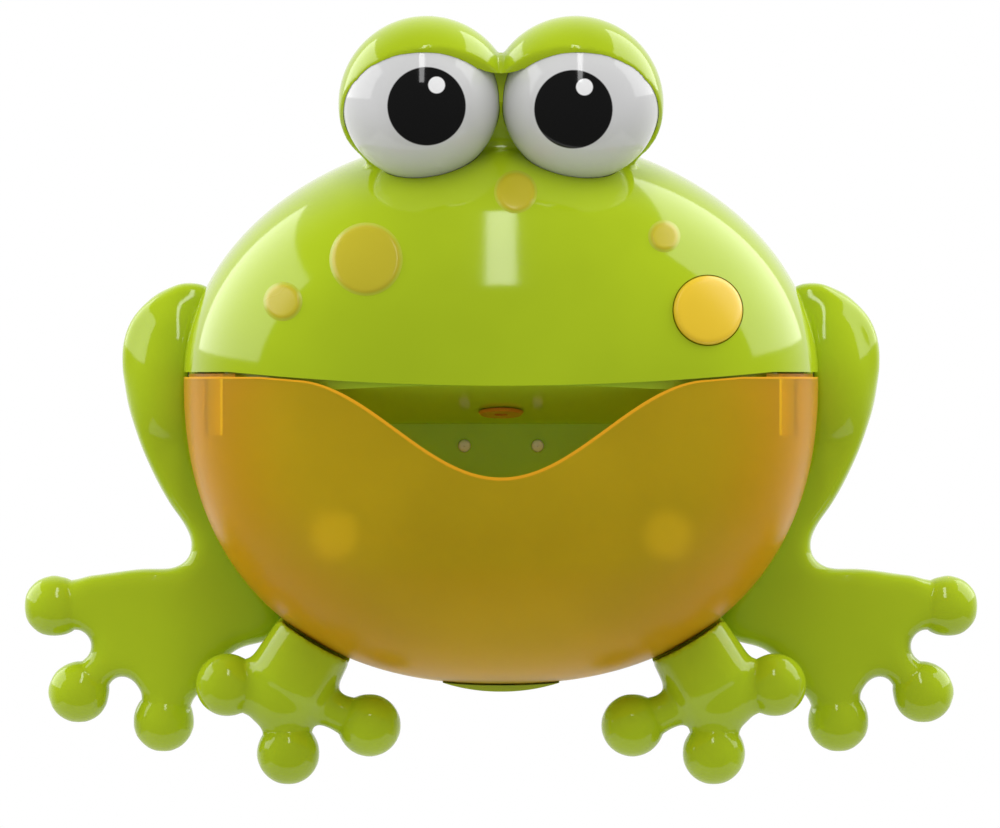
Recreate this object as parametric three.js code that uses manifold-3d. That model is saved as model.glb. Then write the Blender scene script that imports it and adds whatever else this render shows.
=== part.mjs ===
// Bubble frog bath toy: a wall-hung frog that dips a two-ring wand in its soap tray and blows bubbles
// out of its mouth. Millimetres, +Z up, the face looks along -Y and the bath wall is the plane y = 0.
import * as THREE from 'three';
import { mergeVertices } from 'three/addons/utils/BufferGeometryUtils.js';
import Module from 'manifold-3d';

const wasm = await Module();
wasm.setup();

// Gaps between pieces
const FIT = 0.3;
const SLIDE_GAP = 0.5;

// How far a cut or a root runs past the face it meets, and how far a hollow runs out behind
const OVERRUN = 0.5;
const OPEN_BEHIND = 10;

// Body: an upper half ellipse over a fuller lower half, swelling forward into one dome
const BODY_HALF_WIDTH = 76.2;
const HEAD_RISE = 59;
const TRAY_DROP = 73.5;
const TRAY_FULLNESS = 2.3;
const MOUTH_LEVEL = 12.5;
const DOME_DEPTH = 59;
const DOME_FULLNESS = 2.4;
const HEAD_WALL = 2.2;

// Head rim: it dips in a shallow smile between two level ends, and a gap parts it from the tray
const RIM_DIP = 1.6;
const RIM_SMILE = 3.3;
const RIM_SMILE_ACROSS = 0.853;
const RIM_GAP = 0.8;

// Rear shell
const REAR_DEPTH = 22;
const REAR_WALL = 2.4;
const REAR_INSET = 1.2;
const LEDGE_HALF_WIDTH = 17.6;
const LEDGE_REACH = 6;
const LEDGE_THICKNESS = 1.4;

// Soap tray
const TRAY_WALL = 2;
const TRAY_TOP_RISE = 0.2;
const TRAY_BACK_TOP = -33.5;
const SCOOP_HALF_WIDTH = 50;
const SCOOP_TOP = 12;
const SCOOP_BOTTOM = -11.3;
const TAB_INSET = 7.9;
const TAB_WIDTH = 3.5;
const TAB_HEIGHT = 14;

// Mouth liner: a back wall and a ceiling that climbs towards the front
const LINER_WALL = 2.2;
const LINER_STEP = 6;
const LINER_UPSTAND = 2.9;
const CEILING_CORNER = 1.5;
const CEILING_PITCH = 10.4;

// Eyes
const EYE_DOME_RADIUS = 21.1;
const EYE_SPACING = 17.8;
const EYE_LIFT = 6.5;
const EYE_FORWARD = 31;
const EYEBALL_RADIUS = 19.3;
const EYEBALL_FORWARD = 1.2;
const EYEBALL_WALL = 2;
const EYE_PART = 0.5;
const LID_TILT = 42.7;
const LID_FORWARD = 4.35;
const LID_LAP = 4;

// Moulded spots: place across and up, radius of the flat face
const SPOT_PROUD = 0.8;
const SPOTS = [
  { across: -32.2, up: 40.8, radius: 7.7 },
  { across: -52.1, up: 30.7, radius: 3.6 },
  { across: 3.5, up: 56.9, radius: 4.1 },
  { across: 39.0, up: 46.3, radius: 2.8 },
];

// Push button, its sleeve in the head, the switch and the circuit board
const BUTTON_ACROSS = 0.6483;
const BUTTON_Z = 28.6;
const BUTTON_RADIUS = 8.3;
const BUTTON_PROUD = 1.6;
const BUTTON_FLANGE = 1.8;
const BUTTON_TRAVEL = 2.4;
const SLEEVE_WALL = 1.8;
const SLEEVE_REACH = 9;
const SWITCH_SIDE = 6;
const SWITCH_HEIGHT = 3.6;
const PLUNGER_RADIUS = 1.75;
const PLUNGER_LENGTH = 2;
const BOARD_WIDTH = 22;
const BOARD_HEIGHT = 20;
const BOARD_THICKNESS = 1.6;
const PILLAR_RADIUS = 2.5;
const PILLAR_INSET = 4;

// Suction cups
const CUP_HEIGHT = 8;
const CUP_RADIUS = 15;
const CUP_RIM_WIDTH = 2.6;
const CUP_HOLLOW = 3.4;
const CUP_SKIRT = 0.9;
const CUP_COLLAR = 1.6;
const CUP_NECK_RADIUS = 4;
const CUP_HEAD_RADIUS = 5.5;
const CUP_HEAD_HEIGHT = 2.2;
const CUP_PAST_BEARING = 5;
const CUP_Z = 32;

// Battery pocket, door and cells
const CELL_DIAMETER = 14.5;
const CELL_LENGTH = 50.5;
const CELL_GAP = 0.5;
const CELL_COUNT = 3;
const CELL_NUB = 1.4;
const CELL_NUB_RADIUS = 2.6;
const CONTACT_THICKNESS = 0.8;
const CONTACT_SPACE = 2.4;
const CONTACT_BUMP_RADIUS = 4.3;
const CONTACT_TIP_RADIUS = 1.7;
const POCKET_Z = -6;
const POCKET_WALL = 2.4;
const DOOR_THICKNESS = 2.2;
const DOOR_LAP = 1.4;
const DOOR_TAB_WIDTH = 12;
const DOOR_TAB_HEIGHT = 9;

// Screws
const SCREW_RADIUS = 1.4;
const SCREW_HEAD_RADIUS = 3;
const SCREW_HEAD_HEIGHT = 1.3;
const SLOT_LENGTH = 3.6;
const SLOT_WIDTH = 0.7;
const SLOT_DEPTH = 0.8;
const SCREW_WALL = 1.2;
const SCREW_FLOOR = 2.6;
const SCREW_BITE = 5;
const BOSS_RADIUS = 4;
const HEAD_SCREW_ACROSS = 0.4724;
const HEAD_SCREW_Z = 47;
const SIDE_SCREW_INSET = 11.7;
const SIDE_SCREW_Z = -9;
const LOW_SCREW_X = 26;
const LOW_SCREW_Z = -48;

// Bubble wand, its gear pair and gear motor
const WAND_Z = -25;
const WAND_OUT = 2.5;
const WAND_REACH = 21.2;
const WAND_SPACING = 8.8;
const RING_RADIUS = 4.2;
const RING_WIRE = 0.9;
const STALK_RADIUS = 1.2;
const AXLE_RADIUS = 1.5;
const DRIVE_CLEARANCE = 1.6;
const BEARING_WIDTH = 8;
const BEARING_WALL = 1.5;
const GEAR_MODULE = 0.7;
const GEAR_TEETH = 12;
const PINION_TEETH = 18;
const GEAR_WIDTH = 3.6;
const GEAR_ADDENDUM = 0.85;
const GEAR_DEDENDUM = 1.15;
const TOOTH_ROOT_SHARE = 0.3;
const TOOTH_TIP_SHARE = 0.11;
const GEAR_MOTOR_LENGTH = 14;
const GEAR_MOTOR_WIDTH = 10;
const GEAR_MOTOR_HEIGHT = 10;

// Blower, duct and jets
const BLOWER_Z = 38;
const SCROLL_RADIUS = 17;
const SCROLL_DEPTH = 13;
const SCROLL_WALL = 1.6;
const SCROLL_SETBACK = 14;
const INLET_RADIUS = 8.5;
const IMPELLER_RADIUS = 13.2;
const IMPELLER_BLADES = 8;
const BLADE_THICKNESS = 1.2;
const HUB_RADIUS = 3.4;
const FAN_MOTOR_RADIUS = 10;
const FAN_MOTOR_LENGTH = 20;
const FAN_SHAFT_RADIUS = 1;
const EAR_X = 21;
const OUTLET_HALF_WIDTH = 7;
const OUTLET_REACH = 4;
const DUCT_HALF_WIDTH = 12;
const DUCT_WALL = 1.2;
const DUCT_HEIGHT = 5;
const JET_Z = -3.8;
const JET_RADIUS = 1.25;
const JET_BORE = 0.6;
const JET_PROUD = 1.2;

// Round plug in the ceiling of the mouth
const PLUG_RADIUS = 5.5;
const PLUG_FLANGE = 1;
const PLUG_STEM_RADIUS = 4;
const PLUG_FORWARD = 17;
const PLUG_DIMPLE = 1.6;
const PLUG_DIMPLE_DEPTH = 0.6;
const PLUG_CHAMFER = 0.6;
const PLUG_BARB = 0.8;
const PLUG_BARB_LENGTH = 1.2;

// Speaker on the inside of the rear shell
const SPEAKER_ACROSS = -0.6168;
const SPEAKER_Z = 3;
const SPEAKER_RADIUS = 11.5;
const SPEAKER_DEPTH = 8;
const GRILLE_HOLE = 1.2;
const GRILLE_RING = 5;
const GRILLE_HOLES = 6;

// Hind legs: outline points are measured out from the widest point of the body
const HIND_FRONT = 22.5;
const HIND_THICKNESS = 13;
const HIND_EDGE = 4;
const HIND_EDGE_INSET = 1.6;
const HIND_STEPS = 47;
const THIGH_SWELL = 6;
const THIGH_PLACE = [2, 1];
const THIGH_HALF_WIDTH = 12.5;
const THIGH_HALF_HEIGHT = 21;
const HIND_TOE_RADIUS = 7.4;
const HIND_PEG_RADIUS = 3;
const HIND_PEG_REACH = 5;
const HIND_PEG_ROOT = 4;
const HIND_PEGS = [7, 24];
const HIND_TOES = [[31.3, -54.9], [25.4, -75.6], [5, -82.6]];
const HIND_OUTLINE = [
  [-8, 20], [-1.1, 23.1], [5.4, 20.6], [10.9, 16.5], [14, 11.3], [15, 4.5], [14, -3.6], [11.6, -13],
  [7.8, -22.3], [3.2, -30.7], [-0.1, -35.3], [-1.9, -40], [-0.1, -44.4], [10.9, -45.9],
  [19.3, -47.1], [25.8, -48.5], [29.5, -53], [27.5, -58.5], [22.2, -63.4], [23.4, -69],
  [21.5, -73.5], [14, -71.6], [9, -77], [3, -79.5], [-3, -76.4], [-12.5, -65.4], [-20, -63.2], [-23.2, -61],
  [-23.2, -54], [-16, -38], [-12, -10],
];

// Front feet: measured from where the leg leaves the underside of the body
const FRONT_LEG_ACROSS = 0.5906;
const FRONT_LEG_RADIUS = 10.4;
const FRONT_LEG_Y = -31;
const FRONT_LEG_SUNK = 6;
const PALM_RADIUS = 10.8;
const PALM_FLATTENING = 0.85;
const FRONT_TOE_RADIUS = 7.6;
const FRONT_TOE_NECK = 4.6;
const FRONT_PEG_RADIUS = 3.5;
const FRONT_PEG_BACK = 5;
const FRONT_PEG_OUT = 6;
const FRONT_PEG_IN = 6.4;
const FRONT_TOES = [[20.8, -10.7], [6.1, -27.1], [-13.4, -20.4]];
const FRONT_PALM = [6.8, -11.9];

// Colours
const LIME = 0xaacb22;
const WHITE = 0xeeeeee;
const AMBER = 0xd98f12;
const YELLOW = 0xe8b92a;
const BLACK = 0x1c1c1c;
const STEEL = 0xb8bcc0;
const BOARD_GREEN = 0x1f6a3c;
const VINYL = 0xd8dcd6;
const CELL_JACKET = 0x3a3f48;
const DUCT_GREY = 0xe6e6e2;
const FAN_BLUE = 0x9ec2e0;

// Levels that the sizes above lead to
const backY = -CUP_HEIGHT;
const plateY = backY - REAR_WALL;
const seamY = backY - REAR_DEPTH;
const rearRimY = seamY + FIT;
const linerFrontY = seamY - LINER_STEP;
const linerBackY = linerFrontY + LINER_WALL;
const linerInset = TRAY_WALL + SLIDE_GAP;
const trayBackFrontY = linerFrontY - SLIDE_GAP - TRAY_WALL;
const rimMiddleZ = MOUTH_LEVEL - RIM_DIP;
const rimZ = rimMiddleZ + RIM_SMILE;
const trayTopZ = MOUTH_LEVEL + TRAY_TOP_RISE;
const linerTop = rimZ + LINER_UPSTAND;
const ceilingSlope = Math.tan(THREE.MathUtils.degToRad(CEILING_PITCH));
const plugY = linerFrontY - PLUG_FORWARD;
const plugZ = CEILING_CORNER + PLUG_FORWARD * ceilingSlope;
const plugTurn = Math.PI / 2 - THREE.MathUtils.degToRad(CEILING_PITCH);
const eyeY = seamY - EYE_FORWARD;
const eyeZ = MOUTH_LEVEL + HEAD_RISE + EYE_LIFT;

// Places across the body: measured in from its widest point, or shares of its half width
const tabX = BODY_HALF_WIDTH - TAB_INSET;
const sideScrewX = BODY_HALF_WIDTH - SIDE_SCREW_INSET;
const buttonX = BODY_HALF_WIDTH * BUTTON_ACROSS;
const headScrewX = BODY_HALF_WIDTH * HEAD_SCREW_ACROSS;
const speakerX = BODY_HALF_WIDTH * SPEAKER_ACROSS;
const frontLegX = BODY_HALF_WIDTH * FRONT_LEG_ACROSS;

// Longer than any piece, for cuts that go right through, and the facets of the body
const FAR = 400;
const OUTLINE_STEPS = 36;
const DOME_RINGS = 6;
const SCOOP_STEPS = 24;
const RIM_STEPS = 16;

function solidOf(geometry) {
  const bare = geometry.clone();
  bare.deleteAttribute('normal');
  bare.deleteAttribute('uv');
  const merged = mergeVertices(bare, 1e-4);
  const index = merged.index.array;
  const faces = [];
  for (let i = 0; i < index.length; i += 3) {
    const [a, b, c] = index.slice(i, i + 3);
    if (a !== b && b !== c && c !== a) faces.push(a, b, c);
  }
  const vertProperties = new Float32Array(merged.attributes.position.array);
  return new wasm.Manifold(new wasm.Mesh({ numProp: 3, vertProperties, triVerts: new Uint32Array(faces) }));
}

function geometryOf(solid) {
  const mesh = solid.getMesh();
  const geometry = new THREE.BufferGeometry();
  geometry.setAttribute('position', new THREE.Float32BufferAttribute(mesh.vertProperties, 3));
  geometry.setIndex(Array.from(mesh.triVerts));
  geometry.computeVertexNormals();
  return geometry;
}

function joined(first, ...others) {
  return others.reduce((sum, other) => sum.add(other), first);
}

function cut(first, ...others) {
  return others.reduce((rest, other) => rest.subtract(other), first);
}

function box(x0, x1, y0, y1, z0, z1) {
  const geometry = new THREE.BoxGeometry(Math.abs(x1 - x0), Math.abs(y1 - y0), Math.abs(z1 - z0));
  geometry.translate((x0 + x1) / 2, (y0 + y1) / 2, (z0 + z1) / 2);
  return solidOf(geometry);
}

function rodY(radius, y0, y1, x, z, sides = 20) {
  const geometry = new THREE.CylinderGeometry(radius, radius, Math.abs(y1 - y0), sides);
  geometry.translate(x, (y0 + y1) / 2, z);
  return solidOf(geometry);
}

function rodX(radius, x0, x1, y, z, sides = 20) {
  const geometry = new THREE.CylinderGeometry(radius, radius, Math.abs(x1 - x0), sides);
  geometry.rotateZ(Math.PI / 2);
  geometry.translate((x0 + x1) / 2, y, z);
  return solidOf(geometry);
}

// A round rod or cone between two points
function rodBetween(from, to, radiusFrom, radiusTo, sides = 16) {
  const along = new THREE.Vector3().subVectors(to, from);
  const geometry = new THREE.CylinderGeometry(radiusTo, radiusFrom, along.length(), sides);
  const upright = new THREE.Vector3(0, 1, 0);
  geometry.applyQuaternion(new THREE.Quaternion().setFromUnitVectors(upright, along.clone().normalize()));
  geometry.translate((from.x + to.x) / 2, (from.y + to.y) / 2, (from.z + to.z) / 2);
  return solidOf(geometry);
}

function ball(radius, x, y, z, around = 16, down = 10) {
  const geometry = new THREE.SphereGeometry(radius, around, down);
  geometry.translate(x, y, z);
  return solidOf(geometry);
}

// A turned solid about the Y axis; each profile point is a radius and a place along Y
function turnedY(profile, sides = 24) {
  const points = profile.map(([radius, along]) => new THREE.Vector2(radius, along));
  return solidOf(new THREE.LatheGeometry(points, sides));
}

// A flat outline in X and Z, pushed along Y
function prismY(shape, y0, y1, curveSegments = 12) {
  const [front, back] = [Math.min(y0, y1), Math.max(y0, y1)];
  const depth = back - front;
  const geometry = new THREE.ExtrudeGeometry(shape, { depth, bevelEnabled: false, curveSegments });
  geometry.rotateX(Math.PI / 2);
  geometry.translate(0, back, 0);
  return solidOf(geometry);
}

// A flat outline in Y and Z, pushed along X
function prismX(points, x0, x1) {
  const shape = new THREE.Shape(points.map(([y, z]) => new THREE.Vector2(y, z)));
  const geometry = new THREE.ExtrudeGeometry(shape, { depth: x1 - x0, bevelEnabled: false });
  geometry.rotateX(Math.PI / 2);
  geometry.rotateZ(Math.PI / 2);
  geometry.translate(x0, 0, 0);
  return solidOf(geometry);
}

// Outline of the body seen from the front, drawn in by an inset
function outlinePoint(angle, inset) {
  const across = Math.cos(angle);
  const up = Math.sin(angle);
  const power = up >= 0 ? 1 : 2 / TRAY_FULLNESS;
  const rise = (up >= 0 ? HEAD_RISE : TRAY_DROP) - inset;
  const x = (BODY_HALF_WIDTH - inset) * Math.sign(across) * Math.abs(across) ** power;
  const z = MOUTH_LEVEL + rise * Math.sign(up) * Math.abs(up) ** power;
  return new THREE.Vector2(x, z);
}

function outlineShape(inset) {
  const points = [];
  for (let i = 0; i < OUTLINE_STEPS; i += 1) {
    points.push(outlinePoint((2 * Math.PI * i) / OUTLINE_STEPS, inset));
  }
  return new THREE.Shape(points);
}

// Height of the lower outline at a place across the body
function undersideZ(x, inset) {
  const share = Math.abs(x) / (BODY_HALF_WIDTH - inset);
  return MOUTH_LEVEL - (TRAY_DROP - inset) * (1 - share ** TRAY_FULLNESS) ** (1 / TRAY_FULLNESS);
}

// Half width of the outline at a height
function halfWidthAt(z, inset) {
  const lift = z - MOUTH_LEVEL;
  const power = lift >= 0 ? 2 : TRAY_FULLNESS;
  const rise = (lift >= 0 ? HEAD_RISE : TRAY_DROP) - inset;
  return (BODY_HALF_WIDTH - inset) * (1 - (Math.abs(lift) / rise) ** power) ** (1 / power);
}

// Front of the head dome at a place across and up
function domeFront(x, z) {
  const share = Math.hypot(x / BODY_HALF_WIDTH, (z - MOUTH_LEVEL) / HEAD_RISE);
  return seamY - DOME_DEPTH * Math.max(0, 1 - share ** DOME_FULLNESS) ** (1 / DOME_FULLNESS);
}

// The whole domed body as one closed form, drawn in by an inset and reaching back to rearY
function bodyForm(inset, rearY) {
  const positions = [0, rearY, MOUTH_LEVEL];
  const rings = [{ share: 1, y: rearY }];
  for (let i = 0; i < DOME_RINGS; i += 1) {
    const angle = (Math.PI / 2) * (i / DOME_RINGS);
    const share = Math.cos(angle) ** (2 / DOME_FULLNESS);
    const depth = (DOME_DEPTH - inset) * Math.sin(angle) ** (2 / DOME_FULLNESS);
    if (seamY - depth < rearY - 0.01) rings.push({ share, y: seamY - depth });
  }
  for (const ring of rings) {
    for (let i = 0; i < OUTLINE_STEPS; i += 1) {
      const point = outlinePoint((2 * Math.PI * i) / OUTLINE_STEPS, inset);
      positions.push(point.x * ring.share, ring.y, MOUTH_LEVEL + (point.y - MOUTH_LEVEL) * ring.share);
    }
  }
  positions.push(0, seamY - DOME_DEPTH + inset, MOUTH_LEVEL);
  const apex = 1 + rings.length * OUTLINE_STEPS;
  const at = (ring, step) => 1 + ring * OUTLINE_STEPS + (step % OUTLINE_STEPS);
  const faces = [];
  for (let i = 0; i < OUTLINE_STEPS; i += 1) {
    faces.push(0, at(0, i + 1), at(0, i));
    for (let ring = 0; ring + 1 < rings.length; ring += 1) {
      faces.push(at(ring, i), at(ring, i + 1), at(ring + 1, i + 1));
      faces.push(at(ring, i), at(ring + 1, i + 1), at(ring + 1, i));
    }
    faces.push(at(rings.length - 1, i), at(rings.length - 1, i + 1), apex);
  }
  const geometry = new THREE.BufferGeometry();
  geometry.setAttribute('position', new THREE.Float32BufferAttribute(positions, 3));
  geometry.setIndex(faces);
  return solidOf(geometry);
}

// Everything above the rim's smile, lowered by a drop; it is the same at every depth, so the tray slides out
function aboveRim(drop) {
  const smileHalf = BODY_HALF_WIDTH * RIM_SMILE_ACROSS;
  const shape = new THREE.Shape();
  shape.moveTo(FAR / 2, rimZ - drop);
  shape.lineTo(FAR / 2, FAR / 2);
  shape.lineTo(-FAR / 2, FAR / 2);
  shape.lineTo(-FAR / 2, rimZ - drop);
  for (let i = 0; i <= RIM_STEPS; i += 1) {
    const share = (2 * i) / RIM_STEPS - 1;
    shape.lineTo(share * smileHalf, rimMiddleZ + RIM_SMILE * share ** 2 - drop);
  }
  return prismY(shape, FAR / 2, -FAR / 2);
}

// The space of the mouth: in front of the back wall and under the ceiling, both moved by an offset
function mouthSpace(offset) {
  const wallY = linerFrontY + offset;
  const rise = offset / Math.cos(THREE.MathUtils.degToRad(CEILING_PITCH));
  const cornerZ = CEILING_CORNER + rise - offset * ceilingSlope;
  const frontZ = cornerZ + (wallY + FAR) * ceilingSlope;
  return prismX([[wallY, -FAR], [wallY, cornerZ], [-FAR, frontZ], [-FAR, -FAR]], -FAR / 2, FAR / 2);
}

// The wand's drive fills the room beside the battery pocket, out to the liner's wall; the cups are beside it
const driveEndX = halfWidthAt(WAND_Z - GEAR_MOTOR_HEIGHT / 2, linerInset + LINER_WALL) - DRIVE_CLEARANCE;
const bearingX = driveEndX - GEAR_MOTOR_LENGTH - SLIDE_GAP - BEARING_WIDTH / 2;
const cupX = bearingX + CUP_PAST_BEARING;

const toy = new THREE.Group();
toy.name = 'bubble_frog';

function addPart(name, solid, colour, roughness, metalness = 0, parent = toy) {
  const material = new THREE.MeshStandardMaterial({ color: colour, roughness, metalness });
  const mesh = new THREE.Mesh(geometryOf(solid), material);
  mesh.name = name;
  parent.add(mesh);
  return mesh;
}

const sides = [{ word: 'left', sign: -1 }, { word: 'right', sign: 1 }];

// Suction cups: flat rim on the wall, hollow dish, neck through the shell and a mushroom head inside
function suctionCup() {
  const waist = CUP_HEIGHT - CUP_COLLAR;
  return turnedY([
    [0, -CUP_HOLLOW],
    [CUP_RADIUS * 0.5, -CUP_HOLLOW * 0.8],
    [CUP_RADIUS - CUP_RIM_WIDTH, 0],
    [CUP_RADIUS, 0],
    [CUP_RADIUS, -CUP_SKIRT],
    [CUP_HEAD_RADIUS, -waist],
    [CUP_HEAD_RADIUS, backY + FIT],
    [CUP_NECK_RADIUS, backY + FIT],
    [CUP_NECK_RADIUS, plateY - FIT],
    [CUP_HEAD_RADIUS, plateY - FIT],
    [CUP_NECK_RADIUS, plateY - FIT - CUP_HEAD_HEIGHT],
    [0, plateY - FIT - CUP_HEAD_HEIGHT],
  ].reverse(), 14);
}

const cupPlaces = [[-cupX, CUP_Z], [cupX, CUP_Z], [-cupX, -CUP_Z], [cupX, -CUP_Z]];
cupPlaces.forEach(([x, z], i) => {
  const cup = addPart(`suction_cup_${i + 1}`, suctionCup(), VINYL, 0.35);
  cup.position.set(x, 0, z);
});

// Case screws: two reach the posts of the head, four the bosses of the mouth liner
const wellRadius = SCREW_HEAD_RADIUS + FIT + SCREW_WALL;
const screwSeatY = rearRimY + SCREW_FLOOR;
const headScrews = sides.map(({ sign }) => [sign * headScrewX, HEAD_SCREW_Z]);
const linerScrews = [];
for (const { sign } of sides) {
  linerScrews.push([sign * sideScrewX, SIDE_SCREW_Z], [sign * LOW_SCREW_X, LOW_SCREW_Z]);
}

// A screw whose head rests on y = 0 and whose shank runs towards -Y, with a slot in the head
function screw(length) {
  const body = turnedY([
    [0, -length],
    [SCREW_RADIUS, -length + SCREW_RADIUS],
    [SCREW_RADIUS, 0],
    [SCREW_HEAD_RADIUS, 0],
    [SCREW_HEAD_RADIUS, SCREW_HEAD_HEIGHT],
    [0, SCREW_HEAD_HEIGHT],
  ], 10);
  const slotFloor = SCREW_HEAD_HEIGHT - SLOT_DEPTH;
  const [halfLong, halfWide] = [SLOT_LENGTH / 2, SLOT_WIDTH / 2];
  return body.subtract(box(-halfLong, halfLong, slotFloor, FAR, -halfWide, halfWide));
}

const caseScrewLength = SCREW_FLOOR + 2 * FIT + SCREW_BITE;
[...headScrews, ...linerScrews].forEach(([x, z], i) => {
  const part = addPart(`case_screw_${i + 1}`, screw(caseScrewLength), STEEL, 0.35, 0.9);
  part.position.set(x, screwSeatY + FIT, z);
});

// Battery cells, contacts and door
const cellPitch = CELL_DIAMETER + CELL_GAP;
const pocketHalfX = CELL_LENGTH / 2 + CONTACT_SPACE + FIT;
const pocketHalfZ = (cellPitch * CELL_COUNT) / 2 + FIT;
const pocketOuterX = pocketHalfX + POCKET_WALL;
const pocketOuterZ = pocketHalfZ + POCKET_WALL;
const doorInnerY = backY - DOOR_THICKNESS;
const cellY = doorInnerY - FIT - CELL_GAP - CELL_DIAMETER / 2;
const pocketFloorY = cellY - CELL_DIAMETER / 2 - FIT;
const pocketBackY = pocketFloorY - POCKET_WALL;
const doorTabTop = POCKET_Z + pocketHalfZ + DOOR_LAP + DOOR_TAB_HEIGHT;
const doorScrewZ = doorTabTop - DOOR_TAB_HEIGHT / 2;

function batteryCell() {
  const radius = CELL_DIAMETER / 2;
  const half = CELL_LENGTH / 2;
  return turnedY([
    [0, -half],
    [radius, -half],
    [radius, half - CELL_NUB],
    [CELL_NUB_RADIUS, half - CELL_NUB],
    [CELL_NUB_RADIUS, half],
    [0, half],
  ], 20);
}

for (let i = 0; i < CELL_COUNT; i += 1) {
  const cell = addPart(`battery_cell_${i + 1}`, batteryCell(), CELL_JACKET, 0.35, 0.4);
  const flip = i % 2 === 0 ? 1 : -1;
  cell.rotation.z = (-flip * Math.PI) / 2;
  cell.position.set(0, cellY, POCKET_Z + (i - (CELL_COUNT - 1) / 2) * cellPitch);
}

for (const { word, sign } of sides) {
  const plateX = sign * (pocketHalfX - FIT);
  const faceX = plateX - sign * CONTACT_THICKNESS;
  const tipX = sign * (CELL_LENGTH / 2 + FIT);
  const plate = box(plateX, faceX, doorInnerY - FIT, pocketFloorY + FIT, POCKET_Z - pocketHalfZ + FIT,
    POCKET_Z + pocketHalfZ - FIT);
  const bumps = [];
  for (let i = 0; i < CELL_COUNT; i += 1) {
    const z = POCKET_Z + (i - (CELL_COUNT - 1) / 2) * cellPitch;
    const from = new THREE.Vector3(plateX, cellY, z);
    const to = new THREE.Vector3(tipX, cellY, z);
    bumps.push(rodBetween(from, to, CONTACT_BUMP_RADIUS, CONTACT_TIP_RADIUS, 12));
  }
  addPart(`battery_contact_${word}`, joined(plate, ...bumps), STEEL, 0.3, 0.9);
}

function doorOutline(grow, y0, y1) {
  const halfX = pocketHalfX + DOOR_LAP + grow;
  const plate = box(-halfX, halfX, y0, y1, POCKET_Z - pocketHalfZ - DOOR_LAP - grow,
    POCKET_Z + pocketHalfZ + DOOR_LAP + grow);
  const tabHalf = DOOR_TAB_WIDTH / 2 + grow;
  return plate.add(box(-tabHalf, tabHalf, y0, y1, POCKET_Z, doorTabTop + grow));
}

const doorScrewSeatY = backY - SCREW_HEAD_HEIGHT - 2 * FIT;
const doorScrewLength = DOOR_THICKNESS + SCREW_BITE;
const doorScrewHole = rodY(SCREW_RADIUS + FIT, FAR / 2, -FAR / 2, 0, doorScrewZ, 16);
const doorScrewWell = rodY(SCREW_HEAD_RADIUS + FIT, backY + OVERRUN, doorScrewSeatY, 0, doorScrewZ, 16);
addPart('battery_door', cut(doorOutline(0, backY, doorInnerY), doorScrewHole, doorScrewWell), LIME, 0.35);
const doorScrew = addPart('battery_door_screw', screw(doorScrewLength), STEEL, 0.35, 0.9);
doorScrew.position.set(0, doorScrewSeatY + FIT, doorScrewZ);

// Where the wand turns, and the gear pair behind it
const wandY = linerFrontY - WAND_OUT;
const gearDistance = (GEAR_MODULE * (GEAR_TEETH + PINION_TEETH)) / 2;
const pinionY = wandY + gearDistance;
const gearTip = GEAR_MODULE * (GEAR_TEETH / 2 + GEAR_ADDENDUM);
const caseRadius = gearTip + 2 * FIT;
const bearingRadius = caseRadius + BEARING_WALL;
const bearingInX = bearingX - BEARING_WIDTH / 2;
const bearingOutX = bearingX + BEARING_WIDTH / 2;
const caseInX = bearingX - GEAR_WIDTH / 2 - 2 * FIT;
const caseOutX = bearingX + GEAR_WIDTH / 2 + 2 * FIT;
const gearMotorX = bearingOutX + SLIDE_GAP;
const gearMotorBackY = pinionY + GEAR_MOTOR_WIDTH / 2;

// Blower levels
const scrollBackY = seamY - SCROLL_SETBACK;
const scrollFrontY = scrollBackY - SCROLL_DEPTH;
const fanMotorFrontY = scrollBackY + FIT;
const fanMotorBackY = fanMotorFrontY + FAN_MOTOR_LENGTH;

// Button, switch and board levels, worked back from the outer edge of the button's hole
const sleeveEndY = domeFront(buttonX + BUTTON_RADIUS, BUTTON_Z) + SLEEVE_REACH;
const buttonBackY = sleeveEndY + FIT + BUTTON_FLANGE;
const plungerTipY = buttonBackY + BUTTON_TRAVEL + FIT;
const switchFrontY = plungerTipY + PLUNGER_LENGTH;
const boardFrontY = switchFrontY + SWITCH_HEIGHT;
const boardBackY = boardFrontY + BOARD_THICKNESS;
const pillarPlaces = [
  [buttonX - BOARD_WIDTH / 2 + PILLAR_INSET, BUTTON_Z - BOARD_HEIGHT / 2 + PILLAR_RADIUS],
  [buttonX + BOARD_WIDTH / 2 - PILLAR_INSET, BUTTON_Z + BOARD_HEIGHT / 2 - PILLAR_RADIUS],
];

// Front legs leave the underside at a point, square to the outline
const legRootZ = undersideZ(frontLegX, 0);
const legSlope = (undersideZ(frontLegX + 1, 0) - undersideZ(frontLegX - 1, 0)) / 2;
const legOut = new THREE.Vector2(legSlope, -1).normalize();
const frontPegY = seamY + FRONT_PEG_BACK;

function legPoint(sign, out, y) {
  return new THREE.Vector3(sign * (frontLegX + legOut.x * out), y, legRootZ + legOut.y * out);
}

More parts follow.
